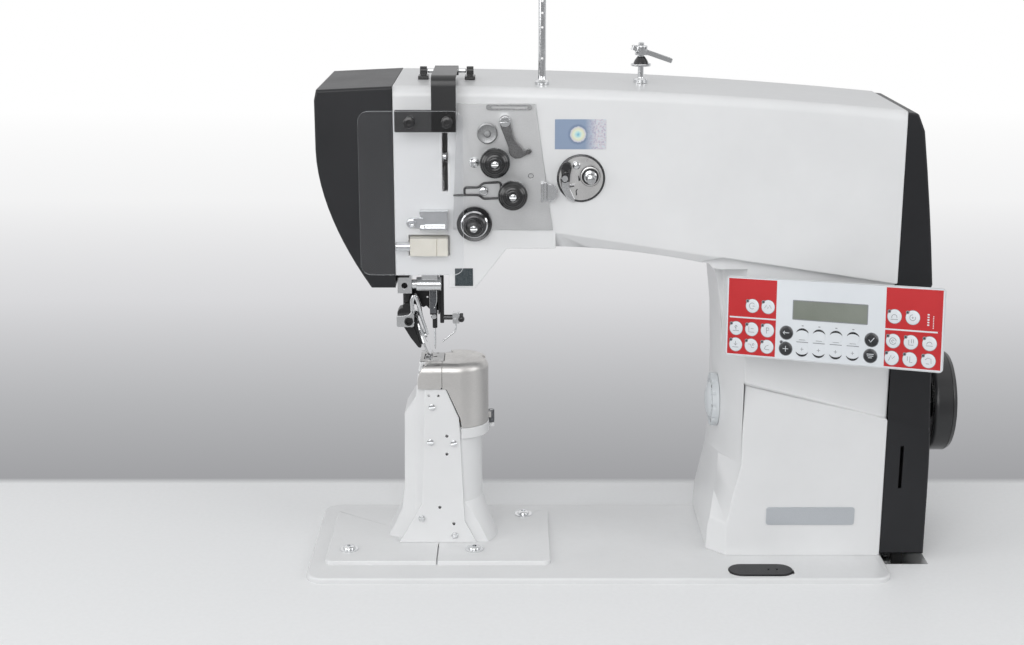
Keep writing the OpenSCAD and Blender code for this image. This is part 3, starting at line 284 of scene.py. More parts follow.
# Eases a solid's sharp edges: each gets a width in millimetres, the same one all over or by the piece's own rule.
def ease_edges(bm, ease, rule, angle):
    layers = bm.edges.layers.float
    weight = layers.get("bevel_weight_edge") or layers.new("bevel_weight_edge")
    sharp_turn, thin_face = math.radians(angle), 4e-9
    sharp = {e for e in bm.edges if len(e.link_faces) == 2 and e.calc_face_angle(0) > sharp_turn
             and min(f.calc_area() for f in e.link_faces) > thin_face}
    free = {}
    for vertex in {v for e in sharp for v in e.verts}:
        lengths = [1.0]
        rims = [(e, (e.other_vert(vertex).co - vertex.co).normalized()) for e in vertex.link_edges if e in sharp]
        for edge in vertex.link_edges:
            along = (edge.other_vert(vertex).co - vertex.co).normalized()
            level = any(abs(along.dot(way)) > 0.97 for rim, way in rims if rim != edge)
            if not (edge in sharp and level):
                lengths.append(edge.calc_length())
        free[vertex] = min(lengths)
    plan = {}
    for edge in sharp:
        middle = (edge.verts[0].co + edge.verts[1].co) * 500
        wanted = rule(middle, [f.normal for f in edge.link_faces]) if rule else ease
        plan[edge] = min(wanted, 380 * min(free[v] for v in edge.verts)) if wanted <= ease else wanted
    widest = max([ease, *plan.values()])
    for edge, width in plan.items():
        edge[weight] = max(0.0, width / widest) if widest else 0.0
        edge.smooth = width > 0.02
    for face in bm.faces:
        face.smooth = True
    return widest


def joined(*solids):
    whole = solids[0]
    for solid in solids[1:]:
        loose = bpy.data.meshes.new("loose")
        solid.to_mesh(loose)
        solid.free()
        whole.from_mesh(loose)
        bpy.data.meshes.remove(loose)
    return whole


# A piece rides on its body, and hides the node that it stands for, if one is given.
def fit_piece(piece, body, node):
    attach(piece, body)
    if node:
        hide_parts(node)
    return piece


# Puts built solids in the scene as one piece, with its finish and its eased edges.
def add_piece(name, solids, finish, body, node=None, ease=0, rule=None, segments=2,
              accents=(), angle=28):
    bm = joined(*solids) if isinstance(solids, list) else solids
    widest = ease_edges(bm, ease, rule, angle)
    mesh = bpy.data.meshes.new(name)
    bm.to_mesh(mesh)
    bm.free()
    mesh.materials.append(finish)
    for number, (other, test) in enumerate(accents, 1):
        mesh.materials.append(other)
        for face in mesh.polygons:
            if test(face.center * 1000, face.normal):
                face.material_index = number
    piece = placed(name, mesh)
    if widest > 0:
        bevel = piece.modifiers.new("eased edges", "BEVEL")
        bevel.limit_method = "WEIGHT"
        bevel.width = widest / 1000
        bevel.segments = segments
        bevel.use_clamp_overlap = False
    piece.modifiers.new("even faces", "WEIGHTED_NORMAL").keep_sharp = True
    return fit_piece(piece, body, node)


# Finishes a merged copy of a CAD node's surface.
def dress(node, finish, ease=0.4, rule=None, accents=(), segments=2, change=None):
    bm = bmesh.new()
    bm.from_mesh(frame["nodes"][node].data)
    bm.edges.layers.float.new("bevel_weight_edge")
    bmesh.ops.remove_doubles(bm, verts=bm.verts, dist=3e-6)
    bmesh.ops.dissolve_degenerate(bm, edges=bm.edges, dist=1.2e-5)
    bmesh.ops.dissolve_limit(bm, angle_limit=math.radians(0.6), verts=bm.verts, edges=bm.edges)
    if change:
        change(bm)
    return add_piece(node + "_piece", bm, finish, frame["nodes"][node]["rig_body"], node,
                     ease, rule, segments, accents)


white_enamel = skin_material("white_enamel", (0.745, 0.75, 0.755), (0.79, 0.795, 0.80), 0.42, 620.0, 0.05,
                             dust=0.10, coat=0.35, coat_roughness=0.16)


def bed_edges(middle, normals):
    x, y, z = middle
    rises = [n.z for n in normals]
    if z > 4.5 and max(rises) > 0.9 and abs(min(rises)) < 0.2:
        return 2.2 if x < -96 or x > 388 or y < -80 or y > 70 else 0.4
    return 0.4 if z > 0.1 else 0


dress("bed_casting", white_enamel, 0.4, bed_edges, segments=3)

# ----------
# Drip cover under the bed and the oval cap in its top. Both are moulded in
# black plastic with a spark-eroded grain, and the cap snaps into its pocket.
black_moulding = skin_material("black_moulding", (0.009, 0.0095, 0.0115), (0.013, 0.0135, 0.016), 0.40, 2600.0, 0.30,
                               dust=0.05, dusty=(0.10, 0.10, 0.10), sheen=0.42)
dress("bed_bottom_cover", black_moulding, 0.6)
dress("bed_inspection_cap", black_moulding, 0.7)


# ----------
# Arm, head and column: one hollow iron casting. Its top edges are well rounded,
# and a bevel runs from under the arm into the column's waisted left corner.
ARM_LEFT, ARM_RIGHT = -31, 403


def roof(x):
    left_height, fall = 430, 21
    return left_height - fall * (max(0, x - ARM_LEFT) / (ARM_RIGHT - ARM_LEFT)) ** 2


def arm_edges(middle, normals):
    x, y, z = middle
    if abs(z - roof(x)) < 0.7:
        if abs(x - ARM_LEFT) < 0.2 or abs(x - ARM_RIGHT) < 0.2:
            return 0.5
        return 9.0 if y < -49 else 6.0 if y > 97 else 0.4
    if -30.5 < x < 395.5 and -42.3 < y < 97 and 268.5 < z < roof(x) - 6:
        return 0
    return 1.6 if 255 < x and y < -5 and z > 6 else 0.8


# The block's upper left corner closes on one point.
def close_corner(bm):
    near = [v for v in bm.verts if 0.2740 < v.co.x < 0.2750 and v.co.y < -0.041 and 0.1675 < v.co.z < 0.1685]
    bmesh.ops.remove_doubles(bm, verts=near, dist=1.2e-4)


dress("arm_casting", white_enamel, 0.8, arm_edges, segments=5, change=close_corner)

# ----------
# Rear cover: a flat pressed panel that closes the arm's back, in the same
# enamel as the casting.
dress("arm_rear_cover", white_enamel, 1.0)


# ----------
# Head cover: a moulded shell over the left end of the head. Its front and top
# meet in a small radius, and its left side sweeps in towards the needle.
def head_cover_edges(middle, normals):
    x, y, z = middle
    if x > ARM_LEFT - 0.6 or -47 <= y <= 94.9:
        return 0.3
    return 2.6 if abs(y + 50.5) < 0.2 or abs(y - 98) < 0.2 else 0


dress("head_cover", black_moulding, 0.3, head_cover_edges, segments=4)


# ----------
# Column cover: a moulded hood over the belts at the right end. Its front steps
# back where the column's does, and it has an upright slot low down.
def scored(bm, height, slope=0, x=0):
    everything = bm.verts[:] + bm.edges[:] + bm.faces[:]
    bmesh.ops.bisect_plane(bm, geom=everything, plane_co=(x / 1000, 0, height / 1000), plane_no=(slope, 0, 1))


def step_cover_front(bm):
    lower = lambda x: 135.7 - 0.352 * (x - 404.1)
    upper = lambda x: 259.1 - 0.155 * (x - ARM_RIGHT)
    for line, slope, step in ((lower, 0.352, 2.4), (upper, 0.155, 4.0)):
        for shift in (0, step):
            scored(bm, line(404) + shift, slope, 404)
    for vertex in bm.verts:
        x, y, z = vertex.co * 1000
        if y < -46.4 and z > lower(x) + 1:
            vertex.co.y = -0.0440 if z < upper(x) + 2 else -0.0495


def column_cover_edges(middle, normals):
    x, y, z = middle
    if x < 403.6:
        return 0.3
    if y < -43.6 or y > 91.8:
        return 0.4 if 415 < x < 420 and z < 112 else 2.2 if min(abs(n.y) for n in normals) < 0.5 else 0.8
    return 2.0 if z > 391 and y < 92 else 0.3


dress("column_cover", black_moulding, 0.3, column_cover_edges, segments=4, change=step_cover_front)


# ----------
# Post base plate and its three screws. The plate is cast iron, ground flat and
# enamelled. The plated button heads have hexagon sockets and lie on washers.
def plate_edges(middle, normals):
    return 0.9 if middle.z > 8.5 and not 1 < middle.x < 3.5 else 0.2


dress("post_base_plate", white_enamel, 0.3, plate_edges, segments=3)

# What worked metal shows: fine marks drawn out one way, and smudges from handling and oil.
marks_group, taken, given = node_group(
    "worked_metal", [("Along", "Vector", (1.0, 1.0, 1.0)), ("Fineness", "Float", 900.0)],
    [("Marks", "Float"), ("Smudge", "Float")])
place = put(marks_group, "ShaderNodeTexCoord").outputs["Object"]
drawn = put(marks_group, "ShaderNodeVectorMath", {0: place, 1: taken["Along"]}, operation="MULTIPLY")
lines = put(marks_group, "ShaderNodeTexNoise", {"Vector": drawn, "Scale": taken["Fineness"], "Detail": 2.0})
feed(marks_group, given, {"Marks": lines, "Smudge": noise(marks_group, 55.0, 4.0, 0.65)})


def metal_material(name, dark, light, roughness, relief=0.04, along=(1.0, 1.0, 1.0), fineness=900.0, vary=0.3):
    made, tree = blank_material(name)
    worked = put(tree, "ShaderNodeGroup", node_tree=marks_group)
    feed(tree, worked, {"Along": along, "Fineness": fineness})
    given = worked.outputs
    close_material(tree, {
        "Base Color": ramp(tree, given["Marks"], (0.32, *dark), (0.68, *light)), "Metallic": 1.0,
        "Roughness": spread(tree, given["Smudge"], 0.3, 0.7, roughness * (1 - vary), roughness * (1 + vary)),
        "Normal": put(tree, "ShaderNodeBump", {"Height": given["Marks"], "Strength": relief, "Distance": 0.0001})})
    return made


chrome = metal_material("chrome", (0.66, 0.67, 0.68), (0.76, 0.77, 0.78), 0.13)


# A solid turned about an upright axis, from pairs of radius and height, with ribs or flats where swell says so.
def turned(profile, sides=40, swell=None):
    bm = bmesh.new()
    rings = []
    for radius, height in profile:
        ring = []
        for step in range(sides if radius else 1):
            turn = 2 * math.pi * step / sides
            reach = radius * (swell(turn, radius, height) if swell else 1) / 1000
            ring.append(bm.verts.new((reach * math.cos(turn), reach * math.sin(turn), height / 1000)))
        rings.append(ring)
    for low, high in zip(rings, rings[1:]):
        for step in range(sides):
            after = (step + 1) % sides
            loop = [low[step % len(low)], low[after % len(low)], high[after % len(high)], high[step % len(high)]]
            bm.faces.new(list(dict.fromkeys(loop)))
    for ring in (rings[0][::-1], rings[-1]):
        if len(ring) > 1:
            bm.faces.new(ring)
    bmesh.ops.recalc_face_normals(bm, faces=bm.faces)
    return bm


def rod(radius, low, high):
    return [(0, low), (radius, low), (radius, high), (0, high)]


# A prism: an outline in the XY plane, drawn up from one height to another.
def prism(outline, low, high):
    bm = bmesh.new()
    foot, head = [[bm.verts.new((x / 1000, y / 1000, h / 1000)) for x, y in outline] for h in (low, high)]
    for step in range(len(outline)):
        after = (step + 1) % len(outline)
        bm.faces.new((foot[step], foot[after], head[after], head[step]))
    bm.faces.new(foot[::-1])
    bm.faces.new(head)
    bmesh.ops.recalc_face_normals(bm, faces=bm.faces)
    return bm


def moved(bm, at=(0, 0, 0), turn=None):
    bm.transform(Matrix.Translation(Vector(at) / 1000) @ (turn.to_4x4() if turn else Matrix()))
    return bm


# The plain mesh that an object's modifiers make. The object goes.
def plain_mesh(thing):
    result = bpy.data.meshes.new_from_object(thing.evaluated_get(bpy.context.evaluated_depsgraph_get()))
    bpy.data.objects.remove(thing)
    return result


# Cuts one solid out of another.
def carved(bm, cutter):
    pair = []
    for name, solid in (("blank", bm), ("cutter", cutter)):
        mesh = bpy.data.meshes.new(name)
        solid.to_mesh(mesh)
        solid.free()
        pair.append(placed(name, mesh))
    cut = pair[0].modifiers.new("cut", "BOOLEAN")
    cut.object = pair[1]
    cut.solver = "EXACT"
    cut.use_self = True
    used = [thing.data for thing in pair]
    used.append(plain_mesh(pair[0]))
    bpy.data.objects.remove(pair[1])
    result = bmesh.new()
    result.from_mesh(used[-1])
    for mesh in used:
        bpy.data.meshes.remove(mesh)
    bmesh.ops.remove_doubles(result, verts=result.verts, dist=2e-6)
    return result


# Grows a mesh with a Geometry Nodes tree and gives back the plain result.
def grown(tree, start, **values):
    base = placed("start", start)
    grower = base.modifiers.new("grow", "NODES")
    grower.node_group = tree
    for item in tree.interface.items_tree:
        if item.in_out == "INPUT" and item.name in values:
            grower[item.identifier] = values[item.name]
    result = plain_mesh(base)
    bpy.data.meshes.remove(start)
    return result


# The fastener tree sets one fastener at each place, turned to its face and driven home at its own angle.
fastener_tree, taken, given = node_group(
    "fasteners", [("Places", "Geometry"), ("Fastener", "Object"), ("Finish", "Material"),
                  ("Size", "Float", 1.0), ("Turn", "Float", 6.28), ("Seed", "Int", 3)],
    [("Set", "Geometry")], "GeometryNodeTree")
facing = put(fastener_tree, "GeometryNodeInputNamedAttribute", {"Name": "facing"}, data_type="FLOAT_VECTOR")
aimed = put(fastener_tree, "FunctionNodeEulerToRotation", {0: facing})
pattern = put(fastener_tree, "GeometryNodeObjectInfo", {"Object": taken["Fastener"]}).outputs["Geometry"]
placed_set = put(fastener_tree, "GeometryNodeInstanceOnPoints", {
    "Points": taken["Places"], "Instance": pattern, "Rotation": aimed, "Scale": taken["Size"]})
driven = put(fastener_tree, "FunctionNodeRandomValue", {3: taken["Turn"], "Seed": taken["Seed"]}, data_type="FLOAT")
spin = put(fastener_tree, "ShaderNodeCombineXYZ", {"Z": driven.outputs[1]})
spun = put(fastener_tree, "GeometryNodeRotateInstances", {"Instances": placed_set, "Rotation": spin})
whole = put(fastener_tree, "GeometryNodeRealizeInstances", {"Geometry": spun})
feed(fastener_tree, given, {"Set": put(
    fastener_tree, "GeometryNodeSetMaterial", {"Geometry": whole, "Material": taken["Finish"]})})

TO_FRONT = (math.radians(90), 0, 0)
UPWARD = (0, 0, 0)


# Places are (x, y, z) in millimetres. Every head of a set faces the same way.
def set_fasteners(name, places, way, fastener, finish, body, node=None, turn=6.28, seed=3):
    points = bpy.data.meshes.new(name + "_places")
    points.from_pydata([(x / 1000, y / 1000, z / 1000) for x, y, z in places], [], [])
    ways = points.attributes.new("facing", "FLOAT_VECTOR", "POINT")
    for one in ways.data:
        one.vector = way
    shape = bpy.data.meshes.new(name + "_one")
    fastener.to_mesh(shape)
    fastener.free()
    shape.shade_smooth()
    shape.set_sharp_from_angle(angle=math.radians(32))
    pattern_piece = placed(name + "_one", shape)
    mesh = grown(fastener_tree, points, Fastener=pattern_piece, Finish=finish, Size=1.0, Turn=turn, Seed=seed)
    bpy.data.objects.remove(pattern_piece)
    bpy.data.meshes.remove(shape)
    mesh.name = name
    if "facing" in mesh.attributes:
        mesh.attributes.remove(mesh.attributes["facing"])
    return fit_piece(placed(name, mesh), body, node)


button_head = turned([(0, 0), (8.4, 0), (8.4, 0.9), (8.1, 1.2), (5.5, 1.2), (5.6, 1.5), (5.5, 2.1), (5.0, 2.8),
                      (4.2, 3.35), (3.2, 3.6), (0, 3.6)], 48)
hexagon = [(2.2 * math.cos(2 * math.pi * i / 6), 2.2 * math.sin(2 * math.pi * i / 6)) for i in range(6)]
set_fasteners("base_plate_screw_set", [(-78.6, -41.4, 9), (35.3, -41.4, 9), (80.4, 44, 9)], UPWARD,
              carved(button_head, prism(hexagon, 1.6, 5)), chrome, "machine", "base_plate_screws")


# ----------
# Post: a hollow iron casting that carries the hook. Its left front edge is a
# wide bevel, and its foot flares out to the base plate. Enamelled like the bed.
def post_edges(middle, normals):
    x, y, z = middle
    if z < 9.5 or 108 < z < 122 and x > 0:
        return 0.3 if z < 9.5 else 0.8
    if z < 52 and x > 22:
        return 0.15
    return 0.4 if x > 30 or max(abs(n.z) for n in normals) > 0.9 else 1.6


dress("post_casting", white_enamel, 0.6, post_edges, segments=4)


# ----------
# Post front plate: an enamelled sheet with small tapped holes, held by five
# slotted screws that are nickel plated.
def front_plate_edges(middle, normals):
    turns = [abs(n.y) for n in normals]
    return 0.5 if middle.y < -25.3 and max(turns) > 0.9 and min(turns) < 0.1 else 0.15


hole_shadow, tree = blank_material("hole_shadow")
close_material(tree, {"Roughness": 0.7, "Base Color": ramp(
    tree, noise(tree, 900.0, 2.0), (0.3, 0.012, 0.012, 0.013), (0.7, 0.03, 0.03, 0.031))})
plate_holes = [(10.7, 112.2), (10.5, 95), (3.5, 43.5), (16.2, 27.5)]


# How far a place on the front lies from an upright line's X and Z.
def off(middle, x, z):
    return math.hypot(middle.x - x, middle.z - z)


def in_hole(middle, normal):
    return abs(normal.y) < 0.5 and any(off(middle, x, z) < 1.4 for x, z in plate_holes)


dress("post_front_plate", white_enamel, 0.3, front_plate_edges, segments=3, accents=[(hole_shadow, in_hole)])

cheese_head = turned([(0, -0.2), (3.1, -0.2), (3.1, 0.935), (2.883, 1.445), (2.232, 1.7), (0, 1.7)], 36)
driver_slot = prism([(-4.03, -0.4), (4.03, -0.4), (4.03, 0.4), (-4.03, 0.4)], 0.85, 3.4)
screw_places = [(-2.5, 139.8), (-4.3, 106.5), (16.9, 105.5), (-13.1, 32.7), (17, 16)]
set_fasteners("post_screw_set", [(x, -25.5, z) for x, z in screw_places], TO_FRONT,
              carved(cheese_head, driver_slot), chrome, "machine", "post_plate_screws", seed=5)

# ----------
# Needle plate, feed wheel and hook cover. The plate is hardened and polished,
# and the cover is a deep drawn shell of steel with a silk matt nickel finish.
worn_grey = metal_material("worn_grey", (0.11, 0.115, 0.125), (0.19, 0.195, 0.205), 0.36, 0.10)
silk_nickel = metal_material("silk_nickel", (0.60, 0.59, 0.575), (0.68, 0.665, 0.65), 0.40, 0.05, (1, 1, 30.0), 420.0,
                             0.2)
ground_steel = metal_material("ground_steel", (0.40, 0.40, 0.40), (0.52, 0.52, 0.515), 0.32, 0.08, (30.0, 1.0, 1.0),
                              600.0, 0.25)
dress("needle_plate", ground_steel, 0.25)
TURN_FRONT = Matrix.Rotation(math.radians(90), 3, "X")


# The cover is in two parts that meet in a hair line over the latch.
def part_cover(bm):
    line = prism([(6.65, -34), (7.0, -34), (7.0, -12), (6.65, -12)], 155, 183)
    latch = moved(turned(rod(1.0, 0, 12), 20), (6.4, -22, 157.2), TURN_FRONT)
    split = carved(bm.copy(), joined(line, latch))
    mesh = bpy.data.meshes.new("split")
    split.to_mesh(mesh)
    split.free()
    bm.clear()
    bm.from_mesh(mesh)
    bpy.data.meshes.remove(mesh)


def on_hinge(middle, normal):
    return math.hypot(middle.x - 50.3, middle.y - 10.2) < 3.0


dress("hook_cover", silk_nickel, 0.25, segments=3, accents=[(worn_grey, on_hinge)], change=part_cover)

# ----------
# Tension plate: a stamped steel plate, brushed and matt nickel plated, that is
# screwed to the arm's face. The rim of its one free hole is countersunk.
brushed_nickel = metal_material("brushed_nickel", (0.60, 0.605, 0.61), (0.68, 0.685, 0.69), 0.42, 0.10,
                                (1.0, 1.0, 26.0), 700.0, 0.15)
dark_steel = metal_material("dark_steel", (0.075, 0.075, 0.078), (0.12, 0.12, 0.122), 0.32, 0.05)
PLATE_FACE = -52


# A solid of an outline given as X and Z, standing between two depths.
def standing(outline, y0, y1):
    return moved(prism(outline, -y1, -y0), turn=TURN_FRONT)


# A standing block from one X to another, one Z to another, and one depth to another.
def block(x0, x1, z0, z1, y0, y1):
    return standing([(x0, z0), (x1, z0), (x1, z1), (x0, z1)], y0, y1)


# A turned solid that faces the front, its heights measured out from the depth y.
def front_turned(profile, x, y, z, sides=48, swell=None):
    return moved(turned(profile, sides, swell), (x, y, z), TURN_FRONT)


def slot_outline(a, b, width):
    steps = 9
    lean = math.atan2(b[1] - a[1], b[0] - a[0])
    ends = ((b, lean - math.pi / 2), (a, lean + math.pi / 2))
    return [(x + width / 2 * math.cos(t + math.pi * i / steps), z + width / 2 * math.sin(t + math.pi * i / steps))
            for (x, z), t in ends for i in range(steps + 1)]


def plate_hole(middle, normal):
    return off(middle, 85.5, 354.5) < 2.3 and abs(normal.y) < 0.5


dress("tension_plate", brushed_nickel, 0.5, accents=[(hole_shadow, plate_hole)], segments=3)


# ----------
# Tension posts: three steel studs, each with a pair of polished discs and a
# conical wire spring that the knob presses on them. A thread pulley and a
# round-headed screw share the plate. The lowest post has darkened wide discs.
def on_plate(profile, x, z, sides=48, swell=None):
    return front_turned(profile, x, PLATE_FACE, z, sides, swell)


knobs = {"upper": (55.2, 368, 12.7), "middle": (70.2, 340.4, 12.5), "lower": (37.4, 313.5, 7.5)}
stud = [(0, -2), (3, -2), (3, 24.9), (2.5, 25.6), (0.7, 25.9), (0, 25.9)]
posts = []
for x, z, radius in knobs.values():
    disc = 11 if radius > 10 else 11.6
    posts += [
        carved(on_plate(stud, x, z), block(x - 4, x + 4, z - 0.45, z + 0.45, -80, -76)),
        on_plate([(3.02, 0), (5.5, 0), (5.5, 3.1), (3.02, 3.1), (3.02, 0)], x, z),
        on_plate([(3.02, 3.2), (disc - 1.2, 3.2), (disc, 3.9), (disc, 4.15), (disc - 1.4, 4.0), (3.02, 4.0),
                  (3.02, 3.2)], x, z, 64),
        on_plate([(3.02, 4.9), (disc - 1.4, 4.9), (disc, 4.75), (disc, 5.0), (disc - 1.2, 5.9), (3.02, 5.9),
                  (3.02, 4.9)], x, z, 64)]
posts.append(carved(on_plate([(0, 0), (4.4, 0), (4.4, 1.0), (4.0, 2.2), (2.9, 3.1), (0, 3.6)], 37.5, 366),
                    on_plate([(0, 2.5), (1.3, 2.5), (1.5, 5), (0, 5)], 37.5, 366, 16)))
add_piece("tension_post_set", posts, chrome, "machine", "tension_studs")

worn_nickel = metal_material("worn_nickel", (0.30, 0.305, 0.31), (0.42, 0.425, 0.43), 0.44, 0.10)
add_piece("tension_thread_pulley", on_plate(
    [(0, 0), (7.6, 0), (8.7, 0.5), (8.7, 0.9), (7.3, 1.6), (7.3, 2.3), (8.6, 3.2), (8.6, 3.7), (7.7, 4.0), (6.6, 3.5),
     (3.4, 3.3), (3.1, 3.4), (3.0, 4.2), (2.4, 5.0), (0, 5.3)], 48.6, 391, 64), worn_nickel, "machine")
lower_discs = [[(11.7, 1.6), (14.2, 1.6), (15, 2.4), (15, 3.1), (14.4, 3.6), (11.7, 3.0), (11.7, 1.6)],
               [(3.02, 6.0), (9.9, 6.0), (10.5, 6.4), (10.5, 8.0), (9.7, 9.3), (8.2, 10.2), (7.0, 10.4), (3.02, 10.4),
                (3.02, 6.0)]]
add_piece("tension_dark_discs", [on_plate(profile, 37.4, 313.5, 72) for profile in lower_discs],
          dark_steel, "machine")

spring_tree, taken, given = node_group(
    "wound_spring", [("Blank", "Geometry"), ("Wire", "Float", 0.00045), ("Foot Radius", "Float", 0.0085),
                     ("Head Radius", "Float", 0.0046), ("Length", "Float", 0.006), ("Turns", "Float", 3.0),
                     ("Finish", "Material")],
    [("Spring", "Geometry")], "GeometryNodeTree")
helix = put(spring_tree, "GeometryNodeCurveSpiral", {
    "Resolution": 28, "Rotations": taken["Turns"], "Start Radius": taken["Foot Radius"],
    "End Radius": taken["Head Radius"], "Height": taken["Length"]})
section = put(spring_tree, "GeometryNodeCurvePrimitiveCircle", {"Resolution": 10, "Radius": taken["Wire"]})
wound = put(spring_tree, "GeometryNodeCurveToMesh", {"Curve": helix, "Profile Curve": section, "Fill Caps": True})
rounded = put(spring_tree, "GeometryNodeSetShadeSmooth", {"Geometry": wound})
whole = put(spring_tree, "GeometryNodeRealizeInstances", {"Geometry": rounded})
feed(spring_tree, given, {"Spring": put(
    spring_tree, "GeometryNodeSetMaterial", {"Geometry": whole, "Material": taken["Finish"]})})


# Adds a spring that is wound on an axis from its foot. Its sizes are in metres.
def wind_spring(bm, turn, at, finish, sizes=None):
    start = bpy.data.meshes.new("wire_blank")
    start.from_pydata([(0, 0, 0)], [], [])
    mesh = grown(spring_tree, start, Finish=finish, **(sizes or {}))
    mesh.transform(Matrix.Translation(Vector(at) / 1000) @ turn.to_4x4())
    bm.from_mesh(mesh)
    bpy.data.meshes.remove(mesh)


spring_wire = metal_material("spring_wire", (0.42, 0.42, 0.43), (0.55, 0.55, 0.56), 0.22)
coils = bmesh.new()
for x, z, radius in knobs.values():
    wind_spring(coils, TURN_FRONT, (x, -58.4, z), spring_wire)
add_piece("tension_spring_set", coils, spring_wire, "machine", "tension_springs")

# ----------
# Tension knobs: black phenolic mouldings, turned in rings towards a raised nose,
# with a finely serrated grip. They screw on the studs.
black_gloss = skin_material("black_gloss", (0.010, 0.010, 0.011), (0.016, 0.016, 0.017), 0.27, 1500.0, 0.06,
                            dust=0.10, coat=0.5, coat_roughness=0.12, dusty=(0.16, 0.16, 0.16))
rings = [(11.6, 13), (12.68, 14), (12.7, 17.0), (12.3, 18.2), (11.7, 18.9), (11.5, 18.7), (11.2, 19.2), (10.0, 20.0),
         (9.8, 19.8), (9.5, 20.2), (8.2, 20.9), (8.0, 20.7), (7.7, 21.0), (6.3, 21.4), (6.1, 22.4), (5.6, 23.2),
         (4.8, 23.5)]
nose = [(4.1, 23.4), (3.3, 22.9), (3.05, 22.0), (3.05, 13)]


def serrated(turn, radius, height):
    return 1 + 0.012 * math.cos(48 * turn) if 12.6 < radius < 12.8 or 7.45 < radius < 7.55 else 1


for name, (x, z, radius) in knobs.items():
    k = radius / 12.7
    profile = [(3.05, 13)] + [(reach * k, height) for reach, height in rings] + nose
    add_piece("tension_knob_%s_piece" % name, on_plate(profile, x, z, 96, serrated),
              black_gloss if radius > 10 else dark_steel, "knob_" + name, "tension_knob_" + name)


# ----------
# Thread guides on and round the plate: a slotted bar, a bent wire guide with
# its nut, a tray over the oil block and a cutter. All are nickel plated steel.
WIRE_FACE = -53.1


# A wire or tube along a line of points, closed at its ends or joined end to end.
def wire(points, radius, sides=10, closed=False):
    bm = bmesh.new()
    line = [Vector(p) for p in points]
    count = len(line)
    reaches = radius if isinstance(radius, list) else [radius] * count
    rings = []
    side = None
    for i, point in enumerate(line):
        before = line[i - 1] if i or closed else point
        after = line[(i + 1) % count] if i < count - 1 or closed else point
        ahead = (after - before).normalized()
        if side is None:
            side = ahead.orthogonal().normalized()
        side = (side - ahead * side.dot(ahead)).normalized()
        across = ahead.cross(side)
        turns = [2 * math.pi * s / sides for s in range(sides)]
        rings.append([bm.verts.new((point + reaches[i] * (math.cos(t) * side + math.sin(t) * across)) / 1000)
                      for t in turns])
    for low, high in list(zip(rings, rings[1:])) + ([(rings[-1], rings[0])] if closed else []):
        for s in range(sides):
            bm.faces.new((low[s], low[(s + 1) % sides], high[(s + 1) % sides], high[s]))
    if not closed:
        bm.faces.new(rings[0][::-1])
        bm.faces.new(rings[-1])
    bmesh.ops.recalc_face_normals(bm, faces=bm.faces)
    return bm


# Rounds the corners of a line of points with short arcs.
def rounded_line(points, radius, steps=5, closed=False):
    line = [Vector(p) for p in points]
    count = len(line)
    out = []
    for i, point in enumerate(line):
        if not closed and i in (0, count - 1):
            out.append(point)
            continue
        back, on = line[i - 1] - point, line[(i + 1) % count] - point
        reach = min(radius, back.length / 2, on.length / 2)
        a, b = point + back.normalized() * reach, point + on.normalized() * reach
        out += [a * (1 - t) ** 2 + point * 2 * t * (1 - t) + b * t * t for t in [s / steps for s in range(steps + 1)]]
    return out


slot_bar = carved(standing(slot_outline((50, 413), (84, 413), 4.6), -55, PLATE_FACE),
                  standing(slot_outline((53, 413), (81.5, 413), 2.2), -56, -51))
add_piece("thread_guide_bar", slot_bar, worn_nickel, "machine", ease=0.4)
wire_loop = [(29, 344.8), (41, 344.8), (45, 348.6), (60, 349.2), (60, 335.6), (45, 335), (41.5, 338.4), (29, 338.4)]
add_piece("thread_guide_wires", [
    wire(rounded_line([(x, WIRE_FACE, z) for x, z in wire_loop], 2.2, closed=True), 1.0, 10, True),
    wire([(19.5, WIRE_FACE, 338.0), (24, WIRE_FACE, 338.2), (31, WIRE_FACE, 338.4)], [0.7, 1.0, 1.0])],
    dark_steel, "machine", ease=0.25)
cutter_front = [(102.4 + 5.6 * math.cos(t), 341 + 7 * math.sin(t))
                for t in [math.radians(a) for a in range(-90, 91, 15)]]
add_piece("thread_guide_set", [
    carved(block(-9, 15, 309, 326, -60, -50), block(-10, 12.6, 311, 322.5, -62, -51.5)),
    standing(slot_outline((-16.5, 314), (-9, 314), 9.0), -53, -50),
    front_turned([(0, 0), (3.8, 0), (4.0, 0.6), (3.6, 2.4), (2.6, 2.9), (0, 3.0)], 45.4, -54, 342),
    front_turned([(0, 0), (4.3, 0), (4.3, 0.9), (3.9, 1.6), (2.6, 1.9), (1.9, 1.8), (1.6, 1.0), (0, 0.9)],
                 -16.2, -53, 314),
    carved(block(94, 100.5, 333, 349, -58, PLATE_FACE), block(96.4, 99.2, 332, 350, -59, -53)),
    standing([(99.6, 334)] + cutter_front + [(99.6, 348)], -56.5, PLATE_FACE)],
    chrome, "machine", "thread_guides", ease=0.35)

